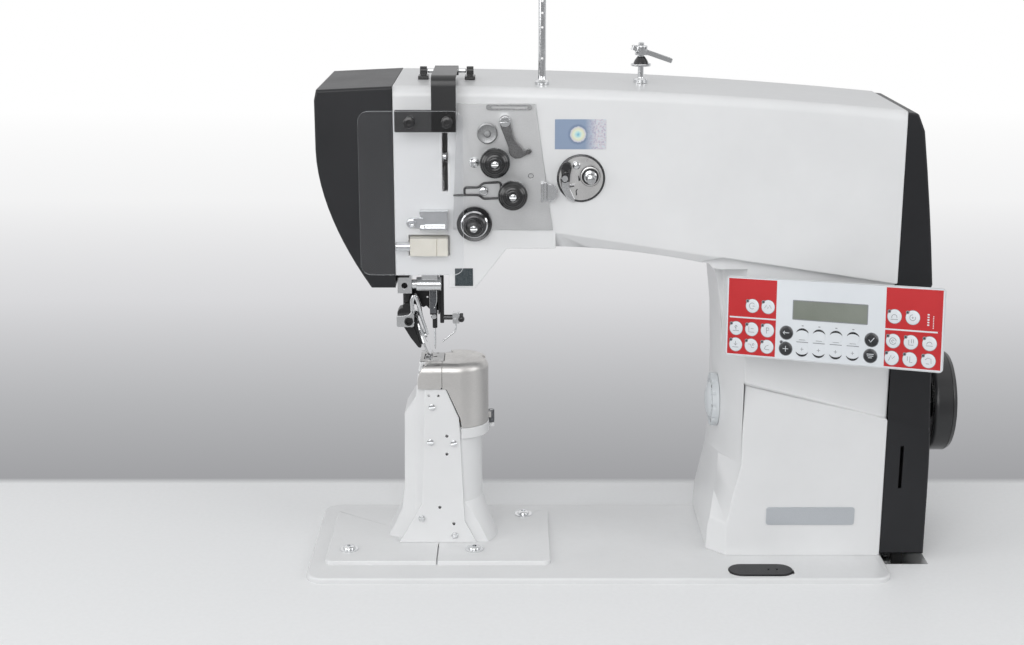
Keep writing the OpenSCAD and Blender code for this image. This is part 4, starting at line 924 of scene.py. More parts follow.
# ----------
# Thread check lever: a cranked lever of darkened steel that holds the thread off
# the tensions. It swings on a slotted pivot screw at its upper end.
check_outline = [
    (58.9, 402), (59.6, 405), (61.4, 406.6), (63.9, 407), (66.4, 405.7), (67.9, 403.2), (68.3, 399), (70.2, 391),
    (72.0, 385.6), (76.6, 380.6), (79.4, 377.2), (82.6, 379), (85.6, 378.6), (86.3, 376.6), (84.8, 374.6),
    (81.0, 373.4), (77, 371.2), (72.2, 370.6), (68.6, 372.6), (67.0, 376), (66.6, 380), (63.4, 388.6), (60.2, 396.6)]
tempered = metal_material("tempered", (0.15, 0.15, 0.152), (0.24, 0.24, 0.243), 0.30, 0.05)
add_piece("check_lever_arm", standing(check_outline, -61, -58), tempered, "check_lever", "check_lever", ease=0.6,
          segments=3)
pivot_screw = carved(front_turned([(0, 0), (4.7, 0), (4.7, 1.6), (4.2, 2.4), (0, 2.6)], 63.6, -61, 402),
                     standing([(57, 401), (70, 402.6), (70, 403.5), (57, 401.9)], -66, -62.2))
pivot_pin = front_turned([(0, -16), (3, -16), (3, 9), (5, 9), (5, 15), (0, 15)], 63.6, -43.4, 402, 32)
add_piece("check_lever_screw", [pivot_screw, pivot_pin], chrome, "check_lever", ease=0.15)

# ----------
# Oil block: a cast block of cream resin with felt behind it, pressed into the
# recess of the arm. A short steel pipe feeds it from the left.
cream_resin = skin_material("cream_resin", (0.70, 0.67, 0.59), (0.78, 0.75, 0.67), 0.42, 900.0, 0.08, dust=0.25,
                            drift=60.0)
dress("oil_block", cream_resin, 0.5, accents=[(chrome, lambda middle, normal: middle.x < -17.7)], segments=3)


# ----------
# Rocker shaft: a ground steel shaft end with its clamp block under the head. The
# block is pinched by a socket screw, and a dark rod lies in the shaft's flat. The
# block's top band is painted black as painted shade in the gap under the head's sole.
def in_rocker_hole(middle, normal):
    return off(middle, -24.8, 253.5) < 2.75 and -30.4 < middle.y < -26.5


# The block above 260.8 mm is painted black: painted shade in the gap under the head's sole.
def painted_gap_shade_on_block(middle, normal):
    return middle.z > 260.8 and middle.x < -19.5


dress("rocker_shaft", chrome, 0.3, accents=[(hole_shadow, in_rocker_hole), (black_gloss, painted_gap_shade_on_block)], segments=3,
      change=lambda bm: scored(bm, 260.8))

# ----------
# Take-up lever: a forged and polished steel lever on a pin inside the arm. Its
# tip comes out through the slot, where the thread passes through the eye.
dress("take_up_lever", chrome, 0.5, segments=3)

# ----------
# Bobbin winder: a brushed disc let on the arm's face, with a dark rim, a bright
# trip lever at its left and the spindle in a rubber-ringed collar.
turned_nickel = metal_material("turned_nickel", (0.66, 0.655, 0.65), (0.76, 0.755, 0.75), 0.34, 0.10, (1.0, 1.0, 1.0),
                               1300.0, 0.2)
rubber_black = skin_material("rubber_black", (0.014, 0.014, 0.015), (0.022, 0.022, 0.023), 0.62, 1800.0, 0.15,
                             dust=0.2, dusty=(0.2, 0.2, 0.2))
WINDER, SPINDLE, TRIP = (128.1, -50, 352.3), (135.7, -50, 354.5), (114.3, -50, 353)
disc = front_turned([(0, 0), (20.5, 0), (20.5, 0.9), (20.1, 1.5), (19.0, 1.7), (18.7, 1.45), (0, 1.45)], *WINDER, 96)
add_piece("winder_disc", carved(disc, front_turned(rod(4.3, -1, 3), *SPINDLE, 32)), turned_nickel, "machine",
          "winder_plate",
          accents=[(dark_steel, lambda middle, normal: off(middle, *WINDER[::2]) > 18.75)])
add_piece("winder_stop_pin", front_turned([(0, 0), (3, 0), (3, 6.4), (2.6, 7), (0, 7)], *TRIP, 32), chrome, "machine")
add_piece("winder_boss_and_stop", [
    front_turned([(0, 0), (3.4, 0), (3.4, 1.6), (2.8, 2.6), (1.4, 3.2), (0, 3.3)], 124.0, -51.4, 363.6, 36),
    standing([(118.6, 346.0), (123.2, 346.7), (123.1, 347.7), (118.5, 347.0)], -52.2, -51.3)],
    chrome, "machine", ease=0.15)
add_piece("winder_grooves", [
    standing([(118.6, 344.6), (122.4, 345.2), (122.3, 346.0), (118.5, 345.4)], -51.7, -51.3),
    standing([(124.0, 337.6), (124.9, 338.0), (124.4, 341.4), (125.4, 343.0), (124.8, 343.4), (123.6, 341.6)],
             -51.7, -51.3),
    standing([(125.7, 354.6), (126.3, 354.6), (127.6, 350.6), (126.0, 350.0)], -51.8, -51.3)],
    hole_shadow, "machine")

spindle = [[(0, -10), (4, -10), (4, 2.6), (5.4, 2.7), (5.4, 7.6), (4.6, 8.0), (4.0, 8.2), (4.0, 22.4), (3.4, 23.7),
            (2.2, 24), (0, 24)],
           [(3.4, 9), (4.5, 9.4), (4.5, 10.6), (3.4, 11)]]
add_piece("winder_spindle_piece", [front_turned(profile, *SPINDLE, 40) for profile in spindle], chrome, "winder",
          "winder_spindle")
collar = [(5.45, 2.4), (8.2, 2.4), (8.6, 2.8), (8.6, 4.6), (8.2, 5.1), (7.2, 5.3), (6.9, 4.9), (5.45, 4.9), (5.45, 2.4)]
add_piece("winder_collar", front_turned(collar, *SPINDLE, 56), turned_nickel, "winder",
          accents=[(dark_steel, lambda middle, normal: off(middle, *SPINDLE[::2]) > 8.0)])
grip_ring = [(5.45, 5.0), (6.6, 5.0), (6.9, 5.5), (6.9, 7.0), (6.5, 7.6), (5.45, 7.6), (5.45, 5.0)]
add_piece("winder_grip_ring", front_turned(grip_ring, *SPINDLE, 56), rubber_black, "winder")
blade = [(111.0, 352.3), (112.0, 355.6), (114.3, 357.0), (116.8, 355.8), (118.1, 353.2), (117.9, 346.1), (120.3, 340.5),
         (123.0, 335.4), (122.6, 333.6), (120.3, 333.4), (115.4, 337.2), (111.6, 344.0)]
link = [(110.9, 360.6), (112.0, 365.2), (115.2, 367.6), (118.8, 366.6), (120.1, 362.4), (118.6, 356.2), (118.4, 350.4),
        (111.2, 350.4), (111.4, 356.0)]
add_piece("winder_trip_lever", carved(standing(blade, -56, -54), front_turned(rod(3.05, 0, 9), *TRIP, 32)),
          chrome, "winder_lever", "winder_lever", ease=0.6, segments=3)
add_piece("winder_trip_link", carved(standing(link, -57.6, -56.1), front_turned(rod(3.05, 0, 9), *TRIP, 32)),
          dark_steel, "winder_lever", ease=0.5, segments=3)
add_piece("winder_lever_caps", [
    front_turned([(0, 0), (3.9, 0), (3.9, 1.2), (3.2, 1.9), (0, 2.1)], 115.4, -57.6, 363.4, 32),
    front_turned([(0, 0), (2.3, 0), (2.3, 1.0), (1.7, 2.0), (0, 2.6)], 115.0, -57.6, 357.8, 28)],
    black_gloss, "winder_lever")

# ----------
# Blank plates: a name plate of anodised aluminium in a rim, a small square badge
# under the head, and a foil seal with shifting pastel colours. None is printed.
anodised = metal_material("anodised", (0.56, 0.585, 0.615), (0.62, 0.645, 0.675), 0.38, 0.06, (26.0, 1.0, 1.0), 600.0,
                          0.12)
etched_zinc = metal_material("etched_zinc", (0.07, 0.085, 0.092), (0.11, 0.128, 0.137), 0.45, 0.10, vary=0.15)
seal_foil, tree = blank_material("seal_foil")
place = put(tree, "ShaderNodeTexCoord").outputs["Object"]
drift = noise(tree, 620.0, 3.0)
offset = put(tree, "ShaderNodeVectorMath", {0: place, 1: (0.1253, -0.0503, 0.3896)}, operation="DISTANCE")
shift = reckoned(tree, "ADD", spread(tree, offset.outputs["Value"], 0.0, 0.010),
                 reckoned(tree, "MULTIPLY", drift, 0.16))
middle_colour = ramp(tree, shift, (0.08, 0.22, 0.52, 0.72), (0.26, 0.50, 0.80, 0.82), (0.42, 0.82, 0.88, 0.74),
                     (0.56, 0.80, 0.82, 0.60), (0.70, 0.70, 0.70, 0.76), (0.80, 0.20, 0.27, 0.40),
                     (1.0, 0.30, 0.38, 0.52))
side_colour = ramp(tree, drift, (0.35, 0.52, 0.50, 0.62), (0.5, 0.74, 0.70, 0.74), (0.65, 0.66, 0.74, 0.80))
sideways = spread(tree, split_axes(tree, place)["X"], 0.131, 0.141)
close_material(tree, {"Base Color": blended(tree, sideways, middle_colour, side_colour), "Metallic": 0.4,
                      "Roughness": spread(tree, drift, 0.0, 1.0, 0.25, 0.5)})
dress("blank_plates", anodised, 0.25, accents=[(seal_foil, lambda middle, normal: middle.z > 300),
                                                (etched_zinc, lambda middle, normal: middle.x < 100)])

# ----------
# Needle bar, clamp and needle. The bar is ground and chromed. The clamp is a
# blackened steel block with a ribbed grey slide on its face for the thread.
black_oxide = skin_material("black_oxide", (0.016, 0.016, 0.017), (0.028, 0.028, 0.029), 0.34, 1400.0, 0.12, dust=0.12,
                            drift=40.0, metallic=0.4, dusty=(0.20, 0.20, 0.20))
dress("needle_bar", chrome, 0.4)
dress("needle", chrome, 0.1)
dress("needle_clamp", black_oxide, 0.5, segments=3)
slide = [(-3.4, 222.6), (1.0, 222.6), (1.7, 223.4), (1.7, 244.6), (1.0, 245.4), (-3.0, 245.4), (-3.7, 244.6),
         (-3.7, 223.4)]
rib = [(-3.2, 226), (1.1, 226.3), (1.1, 227.5), (-3.2, 227.2)]
ribs = [standing([(x, z + 2.4 * i) for x, z in rib], -9.5, -8.2) for i in range(7)]
add_piece("needle_clamp_cheek", block(3.4, 4.7, 221.4, 247.4, -7.4, 3.0), black_oxide, "needle_bar",
          ease=0.2)
add_piece("needle_clamp_slide", [standing(slide, -8.9, -7.0), *ribs], worn_grey, "needle_bar",
          ease=0.2)
clamp_wire = [(2.2, -9.0, 246), (2.3, -9.0, 234), (1.0, -8.9, 229.6), (-0.6, -8.9, 226.6), (-0.7, -4.6, 221)]
add_piece("needle_clamp_wire", [
    wire(rounded_line(clamp_wire, 2.0), 0.38),
    front_turned([(0, 0), (2.4, 0), (2.4, 0.8), (1.9, 1.4), (0, 1.5)], -0.6, -8.0, 219.5, 28)],
    chrome, "needle_bar")

# ----------
# Presser bar and roller foot. A steel block grips the bar, and a bent fork of
# polished steel hangs from it beside a black wedge. The roller is hardened.
BAR_X, BAR_Y = -24, 2
dress("presser_bar", chrome, 0.4, accents=[(black_oxide, lambda middle, normal: middle.z < 247.5)],
      change=lambda bm: scored(bm, 247.5))
spring = bmesh.new()
wind_spring(spring, Matrix.Identity(3), (BAR_X, BAR_Y, 298.9), spring_wire,
            {"Wire": 0.0008, "Foot Radius": 0.0063, "Head Radius": 0.0063, "Length": 0.0382, "Turns": 6.0})
spring_piece = add_piece("presser_spring_piece", spring, spring_wire, "machine", "presser_spring")
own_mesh(spring_piece)

TURN_RIGHT = Matrix.Rotation(math.radians(90), 3, "Y")
TILT = Matrix.Rotation(math.radians(-17.5), 3, "Y")


def at_roller(bm):
    return moved(bm, (-10, 0, 199.87), TILT)


def bar_cut(radius, low, high, foot, sides=40):
    return moved(turned(rod(radius, low, high), sides), (BAR_X, BAR_Y, foot))


grip = [(-34, 211), (-33, 210), (-19.6, 210), (-18.3, 211), (-18.3, 222.6), (-20.6, 224.6), (-22.4, 222.0),
        (-25, 221), (-34, 220.4)]
hub = [(0, -5.6), (3.4, -5.6), (3.6, -5.2), (3.6, -4.9), (2.5, -4.9), (2.5, 2.2), (2.1, 2.6), (0, 2.6)]
lug = [(-19, 210.6), (-14.2, 210.6), (-12.6, 213.5), (-13.6, 220.4), (-19, 221)]
add_piece("roller_grip", [
    carved(standing(grip, -10, 10), bar_cut(4.55, -40, 40, 215)),
    at_roller(block(-11.4, -3.5, 14.4, 21.6, -5.6, 5.6)),
    at_roller(moved(turned(hub, 36), turn=TURN_RIGHT)),
    carved(standing(lug, 10.4, 14.5), front_turned(rod(1.7, -1, 6), -15.9, 12.0, 215.8, 24))],
    chrome, "presser", "roller_arm", ease=0.5, segments=3)
grip_screw = [(0, 0), (3.9, 0), (3.9, 1.5), (3.3, 2.1), (2.2, 2.1), (1.9, 0.6), (0, 0.6)]
add_piece("roller_grip_screw", front_turned(grip_screw, -23, -10, 215.5, 36), black_oxide, "presser")
loop = rounded_line([(-20.0, -5.2, 219.0), (-20.2, -5.4, 234.0), (-17.4, -5.6, 239.6), (-14.2, -5.0, 231.0),
                     (-12.4, -3.0, 219.6), (-6.7, 0, 200.9)], 5.0, 8)
thickness = [1.95 if p.z > 226 else 1.5 + 0.45 * max(0, p.z - 214) / 12 for p in loop]
add_piece("roller_fork_loop", wire(loop, thickness, 16), chrome, "presser")
wedge = [(-28.4, 209.6), (-18.6, 209.6), (-13.6, 194.8), (-12.2, 190.2), (-13.4, 189.0), (-15.2, 189.6), (-22.0, 198.6)]
bar_stop = [(-33.4, 218.8), (-21.4, 218.8), (-21.4, 231), (-26.4, 231), (-28.4, 229.6), (-28.6, 226.6),
            (-31.4, 225.8), (-33.4, 223)]
cheek = [(-4.9, -5.6), (-3.6, -6.4), (-2.4, -6.4), (-2.0, -5.0), (-2.0, 20), (-2.8, 23.4), (-4.4, 24), (-5.0, 22)]
back_plate = [(-21.6, 247), (-17.4, 247), (-15.6, 243.4), (-11.2, 242), (-6.6, 243), (-5.0, 245.4), (-5.0, 222.4),
              (-8.0, 225.6), (-10.4, 224.2), (-16, 226), (-21.6, 228.4)]
add_piece("roller_wedge", [
    carved(standing(wedge, -4.4, 4.4), bar_cut(4.9, -30, 4, 210, 24)),
    carved(standing(bar_stop, -6, 8), bar_cut(4.55, -40, 40, 215)),
    at_roller(standing(cheek, -5.2, 5.2)),
    carved(standing(back_plate, 6.6, 9.6), front_turned(rod(0.95, -6, 6), -6.9, 8, 233.6, 20))],
    black_oxide, "presser", ease=0.5, segments=3)


def roller_teeth(turn, radius, height):
    return 1 + 0.006 * math.cos(90 * turn) if radius > 18.7 else 1


roller = [(2.55, -1.5), (6.5, -1.5), (7.0, -1.2), (15.6, -1.1), (18.4, -0.9), (18.8, -0.6), (18.85, 0.6), (18.4, 0.9),
          (15.6, 1.1), (7.0, 1.2), (6.5, 1.5), (2.55, 1.5), (2.55, -1.5)]
add_piece("roller_wheel_piece", at_roller(moved(turned(roller, 180, roller_teeth), turn=TURN_RIGHT)), chrome,
          "roller", "roller_wheel")


# ----------
# Edge guide: a blackened bar that swings down from the head. Its arm ends in a
# clamp with a knurled screw, which holds a bent guide wire.
def knurl(turn, radius, height):
    return 1 + 0.035 * math.cos(22 * turn) if radius > 2.6 else 1


guide_bar = [(4.8, 212.6), (5.4, 212), (7.8, 212), (8.4, 212.6), (8.4, 258), (11.6, 262), (11.6, 267.2), (5.2, 267.2),
             (4.8, 266.6)]
add_piece("edge_guide_bar", [standing(guide_bar, -3.2, 1.2), moved(turned(rod(2, 266, 275), 28), (9.2, -1, 0))],
          black_oxide, "edge_guide", "edge_guide", ease=0.4, segments=3)
add_piece("edge_guide_arm", [
    moved(turned([(0, 0), (2.2, 0), (2.3, 0.3), (2.3, 9.4), (0, 9.4)], 32, knurl), (7.4, -1, 217), TURN_RIGHT),
    moved(turned([(0, 0), (3.2, 0), (3.5, 0.4), (3.5, 2.6), (3.1, 3.0), (0, 3.0)], 44, knurl), (22.5, -1, 217),
          TURN_RIGHT),
    front_turned([(0, 0), (2.9, 0), (2.9, 1.4), (2.3, 1.9), (1.5, 1.9), (1.2, 0.6), (0, 0.6)], 23.9, -3.6, 216.2, 28)],
    dark_steel, "edge_guide")
clamp = [(16.4, 212), (22.0, 212), (22.4, 212.5), (22.4, 221.4), (21.8, 222), (16.6, 222), (16, 221.4), (16, 212.6)]
guide_wire = [(18.9, -1, 213), (18.9, -1, 206), (17.6, -1, 203.2), (14.4, -1, 200.7), (6.4, -1, 194.1)]
add_piece("edge_guide_wire", [carved(standing(clamp, -5, 3), block(15, 19.0, 216.6, 217.4, -6, 4)),
                              wire(rounded_line(guide_wire, 2.2), 0.75, 12)],
          chrome, "edge_guide", ease=0.3)

# ----------
# Thread pin and guide unit on the arm's top. Both are turned steel with a bright
# nickel skin. The unit has a black cone under a flat arm that turns.
PIN_X, PIN_Y = 95.1, -20.8
pin_foot, unit_foot = roof(88.9), roof(176.4)
thread_pin = moved(turned([(0, 0), (6.2, 0), (6.2, 2.2), (5.4, 3.6), (3.9, 4.0), (3.4, 5.2), (3.3, 8), (3.3, 74.6),
                           (2.6, 75.8), (0, 76)], 40), (PIN_X, PIN_Y, pin_foot))
for height in (22, 48, 60, 70):
    thread_pin = carved(thread_pin, moved(turned(rod(1.1, -8, 8), 16), (PIN_X, PIN_Y, pin_foot + height), TURN_FRONT))
unit = moved(turned([(0, 0), (6.2, 0), (6.2, 2.6), (5.2, 4.0), (2.9, 4.2), (2.6, 5), (2.6, 14.4), (8.4, 14.5),
                     (9, 15.0), (9, 16.0), (8.4, 16.5), (2.6, 16.6), (2.6, 34.2), (2.0, 35), (0, 35)], 48),
             (182.6, 20, unit_foot))
add_piece("thread_pin_and_post", [thread_pin, unit], chrome, "machine", "thread_posts")
cone = turned([(2.65, 16.7), (6.4, 16.7), (6.5, 17.2), (5.6, 19.4), (3.6, 22.2), (3.0, 22.9), (2.65, 22.9),
               (2.65, 16.7)], 40)
add_piece("thread_cone", moved(cone, (182.6, 20, unit_foot)), black_gloss, "machine")
dress("top_guide_arm", chrome, 0.7, segments=3)

# ----------
# Eye guard: a clear acrylic sheet with flame-polished edges, which are painted light grey
# as a painted glint. It hangs in front of the needle from a black strap that tips up
# on two hinge blocks on the arm's top.
clear_acrylic, tree = blank_material("clear_acrylic")
haze = noise(tree, 24.0, 3.0)
close_material(tree, {"Base Color": ramp(tree, haze, (0.3, 0.955, 0.96, 0.975), (0.7, 0.975, 0.98, 0.99)),
                      "Roughness": ramp(tree, haze, (0.3, 0.01, 0.01, 0.01), (0.7, 0.03, 0.03, 0.03)),
                      "Transmission Weight": 1.0, "IOR": 1.46})
# The sheet's edge faces are painted light grey: a painted glint.
acrylic_edge_painted_glint, tree = blank_material("acrylic_edge_painted_glint")
close_material(tree, {"Roughness": 0.2, "Coat Weight": 0.5, "Base Color": ramp(
    tree, noise(tree, 120.0, 3.0), (0.3, 0.66, 0.69, 0.71), (0.7, 0.80, 0.82, 0.84))})
guard = dress("eye_guard", clear_acrylic, 0.35, accents=[(acrylic_edge_painted_glint, lambda middle, normal: abs(normal.y) < 0.9)])
guard.visible_shadow = False
guard.visible_diffuse = False

black_enamel = skin_material("black_enamel", (0.009, 0.009, 0.010), (0.013, 0.013, 0.014), 0.33, 900.0, 0.08,
                             dust=0.10, coat=0.2, dusty=(0.12, 0.12, 0.12))
bend, bend_within = [[(p.y, p.z) for p in rounded_line([(0, 8, z), (0, y, z), (0, y, 394.3)], radius, 8)]
                     for y, z, radius in ((-70, 441, 9.0), (-67, 438, 6.0))]
strap_plate = [(-28.2, 394.9), (-27.6, 394.3), (2.6, 394.3), (2.6, 412.6), (-27.6, 412.6), (-28.2, 412.0)]
HINGE_Y, HINGE_Z = 8, 437
knuckle = [(2.05, 2.5), (4.0, 2.5), (4.2, 2.8), (4.2, 22.7), (4.0, 23), (2.05, 23), (2.05, 2.5)]
add_piece("eye_guard_strap", [
    moved(prism(bend + bend_within[::-1], 2.5, 23), turn=Matrix(((0, 0, 1), (1, 0, 0), (0, 1, 0)))),
    standing(strap_plate, -70, -67),
    moved(turned(knuckle, 36), (0, HINGE_Y, HINGE_Z), TURN_RIGHT)],
    black_enamel, "eye_guard", "eye_guard_bracket", ease=0.4, segments=3)


def grooved(turn, radius, height):
    return 1 + 0.02 * math.cos(24 * turn) if 4.85 < radius < 5.05 and height > 0.5 else 1


clamp_screw = [(0, -2.9), (2.5, -2.9), (2.5, 0), (5.0, 0), (5.0, 0.8), (4.9, 3.4), (4.3, 4.2), (2.9, 4.5), (0, 4.5)]
add_piece("eye_guard_clamp_screws", [
    carved(front_turned(clamp_screw, x, -72, 403, 44, grooved), front_turned(rod(2.3, 2.4, 6), x, -72, 403, 6))
    for x in (-15.9, 15.6)], black_gloss, "eye_guard")


def on_hinge_pin(middle, normal):
    return math.hypot(middle.y - HINGE_Y, middle.z - HINGE_Z) < 2.2 and -2.8 < middle.x < 28.3


dress("eye_guard_hinge", black_enamel, 0.5, accents=[(chrome, on_hinge_pin)], segments=3)

# ----------
# Control panel: a light grey moulded housing on a tilting stem. Its face is one
# printed keypad foil with a display window, embossed keys and small lamps.
PANEL = (Matrix.Translation((0.335, -0.110, 0.241)) @ Matrix.Rotation(math.radians(-29.45), 4, "Z")
         @ Matrix.Rotation(math.radians(-7.8), 4, "X") @ Matrix.Rotation(math.radians(-3.4), 4, "Y"))
grey_moulding = skin_material("grey_moulding", (0.60, 0.615, 0.63), (0.66, 0.675, 0.69), 0.40, 1600.0, 0.12, dust=0.15)
foil_white = skin_material("foil_white", (0.70, 0.73, 0.76), (0.75, 0.78, 0.81), 0.33, 2400.0, 0.10, dust=0.06,
                           coat=0.2)
foil_red = skin_material("foil_red", (0.50, 0.014, 0.018), (0.56, 0.020, 0.025), 0.38, 2400.0, 0.10, dust=0.05,
                         sheen=0.4)
foil_dark = skin_material("foil_dark", (0.018, 0.019, 0.022), (0.026, 0.027, 0.030), 0.30, 2400.0, 0.08, dust=0.06,
                          coat=0.2)
print_grey = skin_material("print_grey", (0.20, 0.21, 0.23), (0.26, 0.27, 0.29), 0.40, 2400.0, 0.05, dust=0.0)


# A block with rounded corners on the panel, between two depths.
def pad(x0, x1, z0, z1, y0, y1, radius):
    steps = 5
    corners = [(x1 - radius, z0 + radius, -90), (x1 - radius, z1 - radius, 0),
               (x0 + radius, z1 - radius, 90), (x0 + radius, z0 + radius, 180)]
    turns = [(x, z, math.radians(start + 90 * i / steps)) for x, z, start in corners for i in range(steps + 1)]
    return standing([(x + radius * math.cos(t), z + radius * math.sin(t)) for x, z, t in turns], y0, y1)


def panel_piece(name, solids, finish, node=None, ease=0, segments=2, angle=28):
    bm = joined(*solids)
    bm.transform(PANEL)
    return add_piece(name, bm, finish, "panel", node, ease=ease, segments=segments, angle=angle)


shell = carved(pad(-94, 94, -34.5, 34.5, 0.5, 13, 3.4), pad(-93.1, 93.1, -33.6, 33.6, -2, 1.35, 2.6))
stems = [carved(block(s * 13 - 3, s * 13 + 3, -7, 7, 12.5, 26),
                moved(turned(rod(3.05, -20, 20), 32), (0, 20, 0), TURN_RIGHT))
         for s in (-1, 1)]
shell = joined(shell, *stems)
for vertex in shell.verts:
    if abs(vertex.co.y - 0.013) < 1e-5:
        vertex.co.x *= 0.965
        vertex.co.z *= 0.92
panel_piece("panel_housing_piece", [shell], grey_moulding, "panel_housing", ease=0.4, segments=3, angle=22)
panel_piece("panel_foil_base", [pad(-93, 93, -33.5, 33.5, 0.75, 1.3, 2.5)], foil_white, "panel_foil")
panel_piece("panel_red_fields",
            [block(-91.7, -48.5, -32.5, 32.5, 0.70, 0.76), block(45.3, 91.7, -32.5, 32.5, 0.70, 0.76)], foil_red)


# What is printed on the foil lies in a thin layer, and what is printed on a key in one further out.
def printed(x0, x1, z0, z1):
    return block(x0, x1, z0, z1, 0.66, 0.71)


def printed_on_key(x0, x1, z0, z1):
    return block(x0, x1, z0, z1, 0.42, 0.47)


panel_piece("panel_white_marks", [
    printed(-90.2, -48.6, -1.35, -0.1), printed(45.4, 88.4, -2.4, -1.15),
    *[printed(79.6, 81.2, 3.2 + 2.1 * i, 4.4 + 2.1 * i) for i in range(5)],
    *[printed(84.2, 84.9, 1.0 + 1.35 * i, 1.85 + 1.35 * i) for i in range(8)]], foil_white)

display_glass, tree = blank_material("display_glass")
place = put(tree, "ShaderNodeTexCoord").outputs["Object"]
cells = put(tree, "ShaderNodeTexVoronoi", {"Vector": place, "Scale": 1500.0})
tint = reckoned(tree, "ADD", noise(tree, 26.0, 2.0), reckoned(tree, "MULTIPLY", cells, 0.12))
close_material(tree, {"Base Color": ramp(tree, tint, (0.3, 0.165, 0.185, 0.150), (0.75, 0.235, 0.255, 0.220)),
                      "Roughness": 0.24, "Coat Weight": 0.6, "Coat Roughness": 0.06})
panel_piece("panel_display", [pad(-33.5, 30.1, 1.0, 16.6, 0.69, 0.76, 0.4)], display_glass)
panel_piece("panel_display_rim",
            [carved(pad(-34.1, 30.7, 0.4, 17.2, 0.64, 0.76, 0.8), pad(-33.4, 30.0, 1.1, 16.5, 0.5, 0.9, 0.4))],
            print_grey)


def on_face(*shares):
    return [(-94 + 188 * u, 34.5 - 69 * v) for u, v in shares]


white_keys = on_face(
    (0.128, 0.36), (0.203, 0.36), (0.053, 0.65), (0.128, 0.65), (0.203, 0.65),
    (0.053, 0.853), (0.128, 0.853), (0.203, 0.853),
    (0.780, 0.37), (0.860, 0.37), (0.778, 0.663), (0.856, 0.663), (0.937, 0.663),
    (0.775, 0.867), (0.854, 0.867), (0.935, 0.867))
black_keys = on_face((0.293, 0.66), (0.292, 0.857), (0.683, 0.67), (0.68, 0.863))
lamps = [(x - 4.3, z + 4.1) for x, z in white_keys] + [(-43.0, -19.2)]


# An embossed key is a low dome. The grey ring round its foot, in print grey, is painted shade.
def key_dome(radius):
    return [(0, -0.02), (radius, -0.02), (radius, 0.03), (radius - 0.25, 0.10), (radius - 0.8, 0.42 * 0.78),
            (radius - 1.5, 0.42), (0, 0.44)]


# The first row's grey rings are painted shade round the keys' feet.
for name, places, profile, sides, finish in (
        ("panel_key_rings", white_keys + black_keys, rod(6.1, -0.02, 0.02), 40, print_grey),
        ("panel_round_keys", white_keys, key_dome(5.75), 40, foil_white),
        ("panel_black_keys", black_keys, key_dome(5.6), 40, foil_dark),
        ("panel_lamp_rings", lamps, [(0, 0), (1.45, 0), (1.45, 0.5), (1.2, 0.55), (0, 0.55)], 20, print_grey),
        ("panel_lamps", lamps, [(0, 0.5), (0.85, 0.5), (0.8, 0.66), (0.45, 0.8), (0, 0.84)], 16, foil_dark)):
    set_fasteners(name, [(x, 0.70, z) for x, z in places], TO_FRONT, turned(profile, sides), finish, "panel",
                  turn=0.0).data.transform(PANEL)


def crescent(x, z, way):
    outer, inner, steps = 5.7, 3.8, 14
    sweep = [math.radians(20 + 140 * i / steps) for i in range(steps + 1)]
    rise = 0.42 * math.sin(sweep[0])
    arc = [(x + outer * math.cos(t), z + way * outer * math.sin(t)) for t in sweep]
    inside = [(x + (outer + 0.15) * math.cos(t) * 0.985, z + way * (inner * math.sin(t) + rise))
              for t in sweep[-2:0:-1]]
    return standing(arc + inside, 0.42, 0.74)


bodies, moons, bars = [], [], []
for x in (-24.8, -10.3, 4.3, 18.8):
    bodies += [pad(x - 5.5, x + 5.5, low, high, 0.46, 0.74, 4.4) for low, high in ((-28.8, -19.4), (-16.8, -7.4))]
    moons += [crescent(x, -12.0, 1), crescent(x, -24.6, -1)]
    bars += [printed(x - 5.2, x + 5.2, -18.4, -17.8), printed(x - 0.9, x + 0.9, -4.6, -3.9),
             printed_on_key(x - 2.6, x + 2.6, -16.3, -15.9), printed_on_key(x - 0.2, x + 0.2, -25.4, -22.6),
             printed_on_key(x - 1.4, x + 1.4, -24.2, -23.8)]
panel_piece("panel_paired_keys", bodies, foil_white, ease=0.16)
panel_piece("panel_key_crescents", moons, foil_dark, ease=0.05)


# Printed signs are thin ribbons along lines of points.
def signs_on(keys, signs, width):
    ribbons = []
    for (x, z), strokes in zip(keys, signs):
        for points in strokes:
            line = [Vector((x + a, z + b)) for a, b in points]
            left, right = [], []
            for i, point in enumerate(line):
                ahead = (line[min(i + 1, len(line) - 1)] - line[max(i - 1, 0)]).normalized()
                aside = Vector((-ahead.y, ahead.x)) * width / 2
                left.append(tuple(point + aside))
                right.append(tuple(point - aside))
            ribbons.append(standing(left + right[::-1], 0.24, 0.28))
    return ribbons


def arc_of(radius, start, end, x=0.0, z=0.0):
    step = 24 if end > start else -24
    turns = [math.radians(a) for a in range(start, end + step // 24, step)]
    return [(x + radius * math.cos(t), z + radius * math.sin(t)) for t in turns]


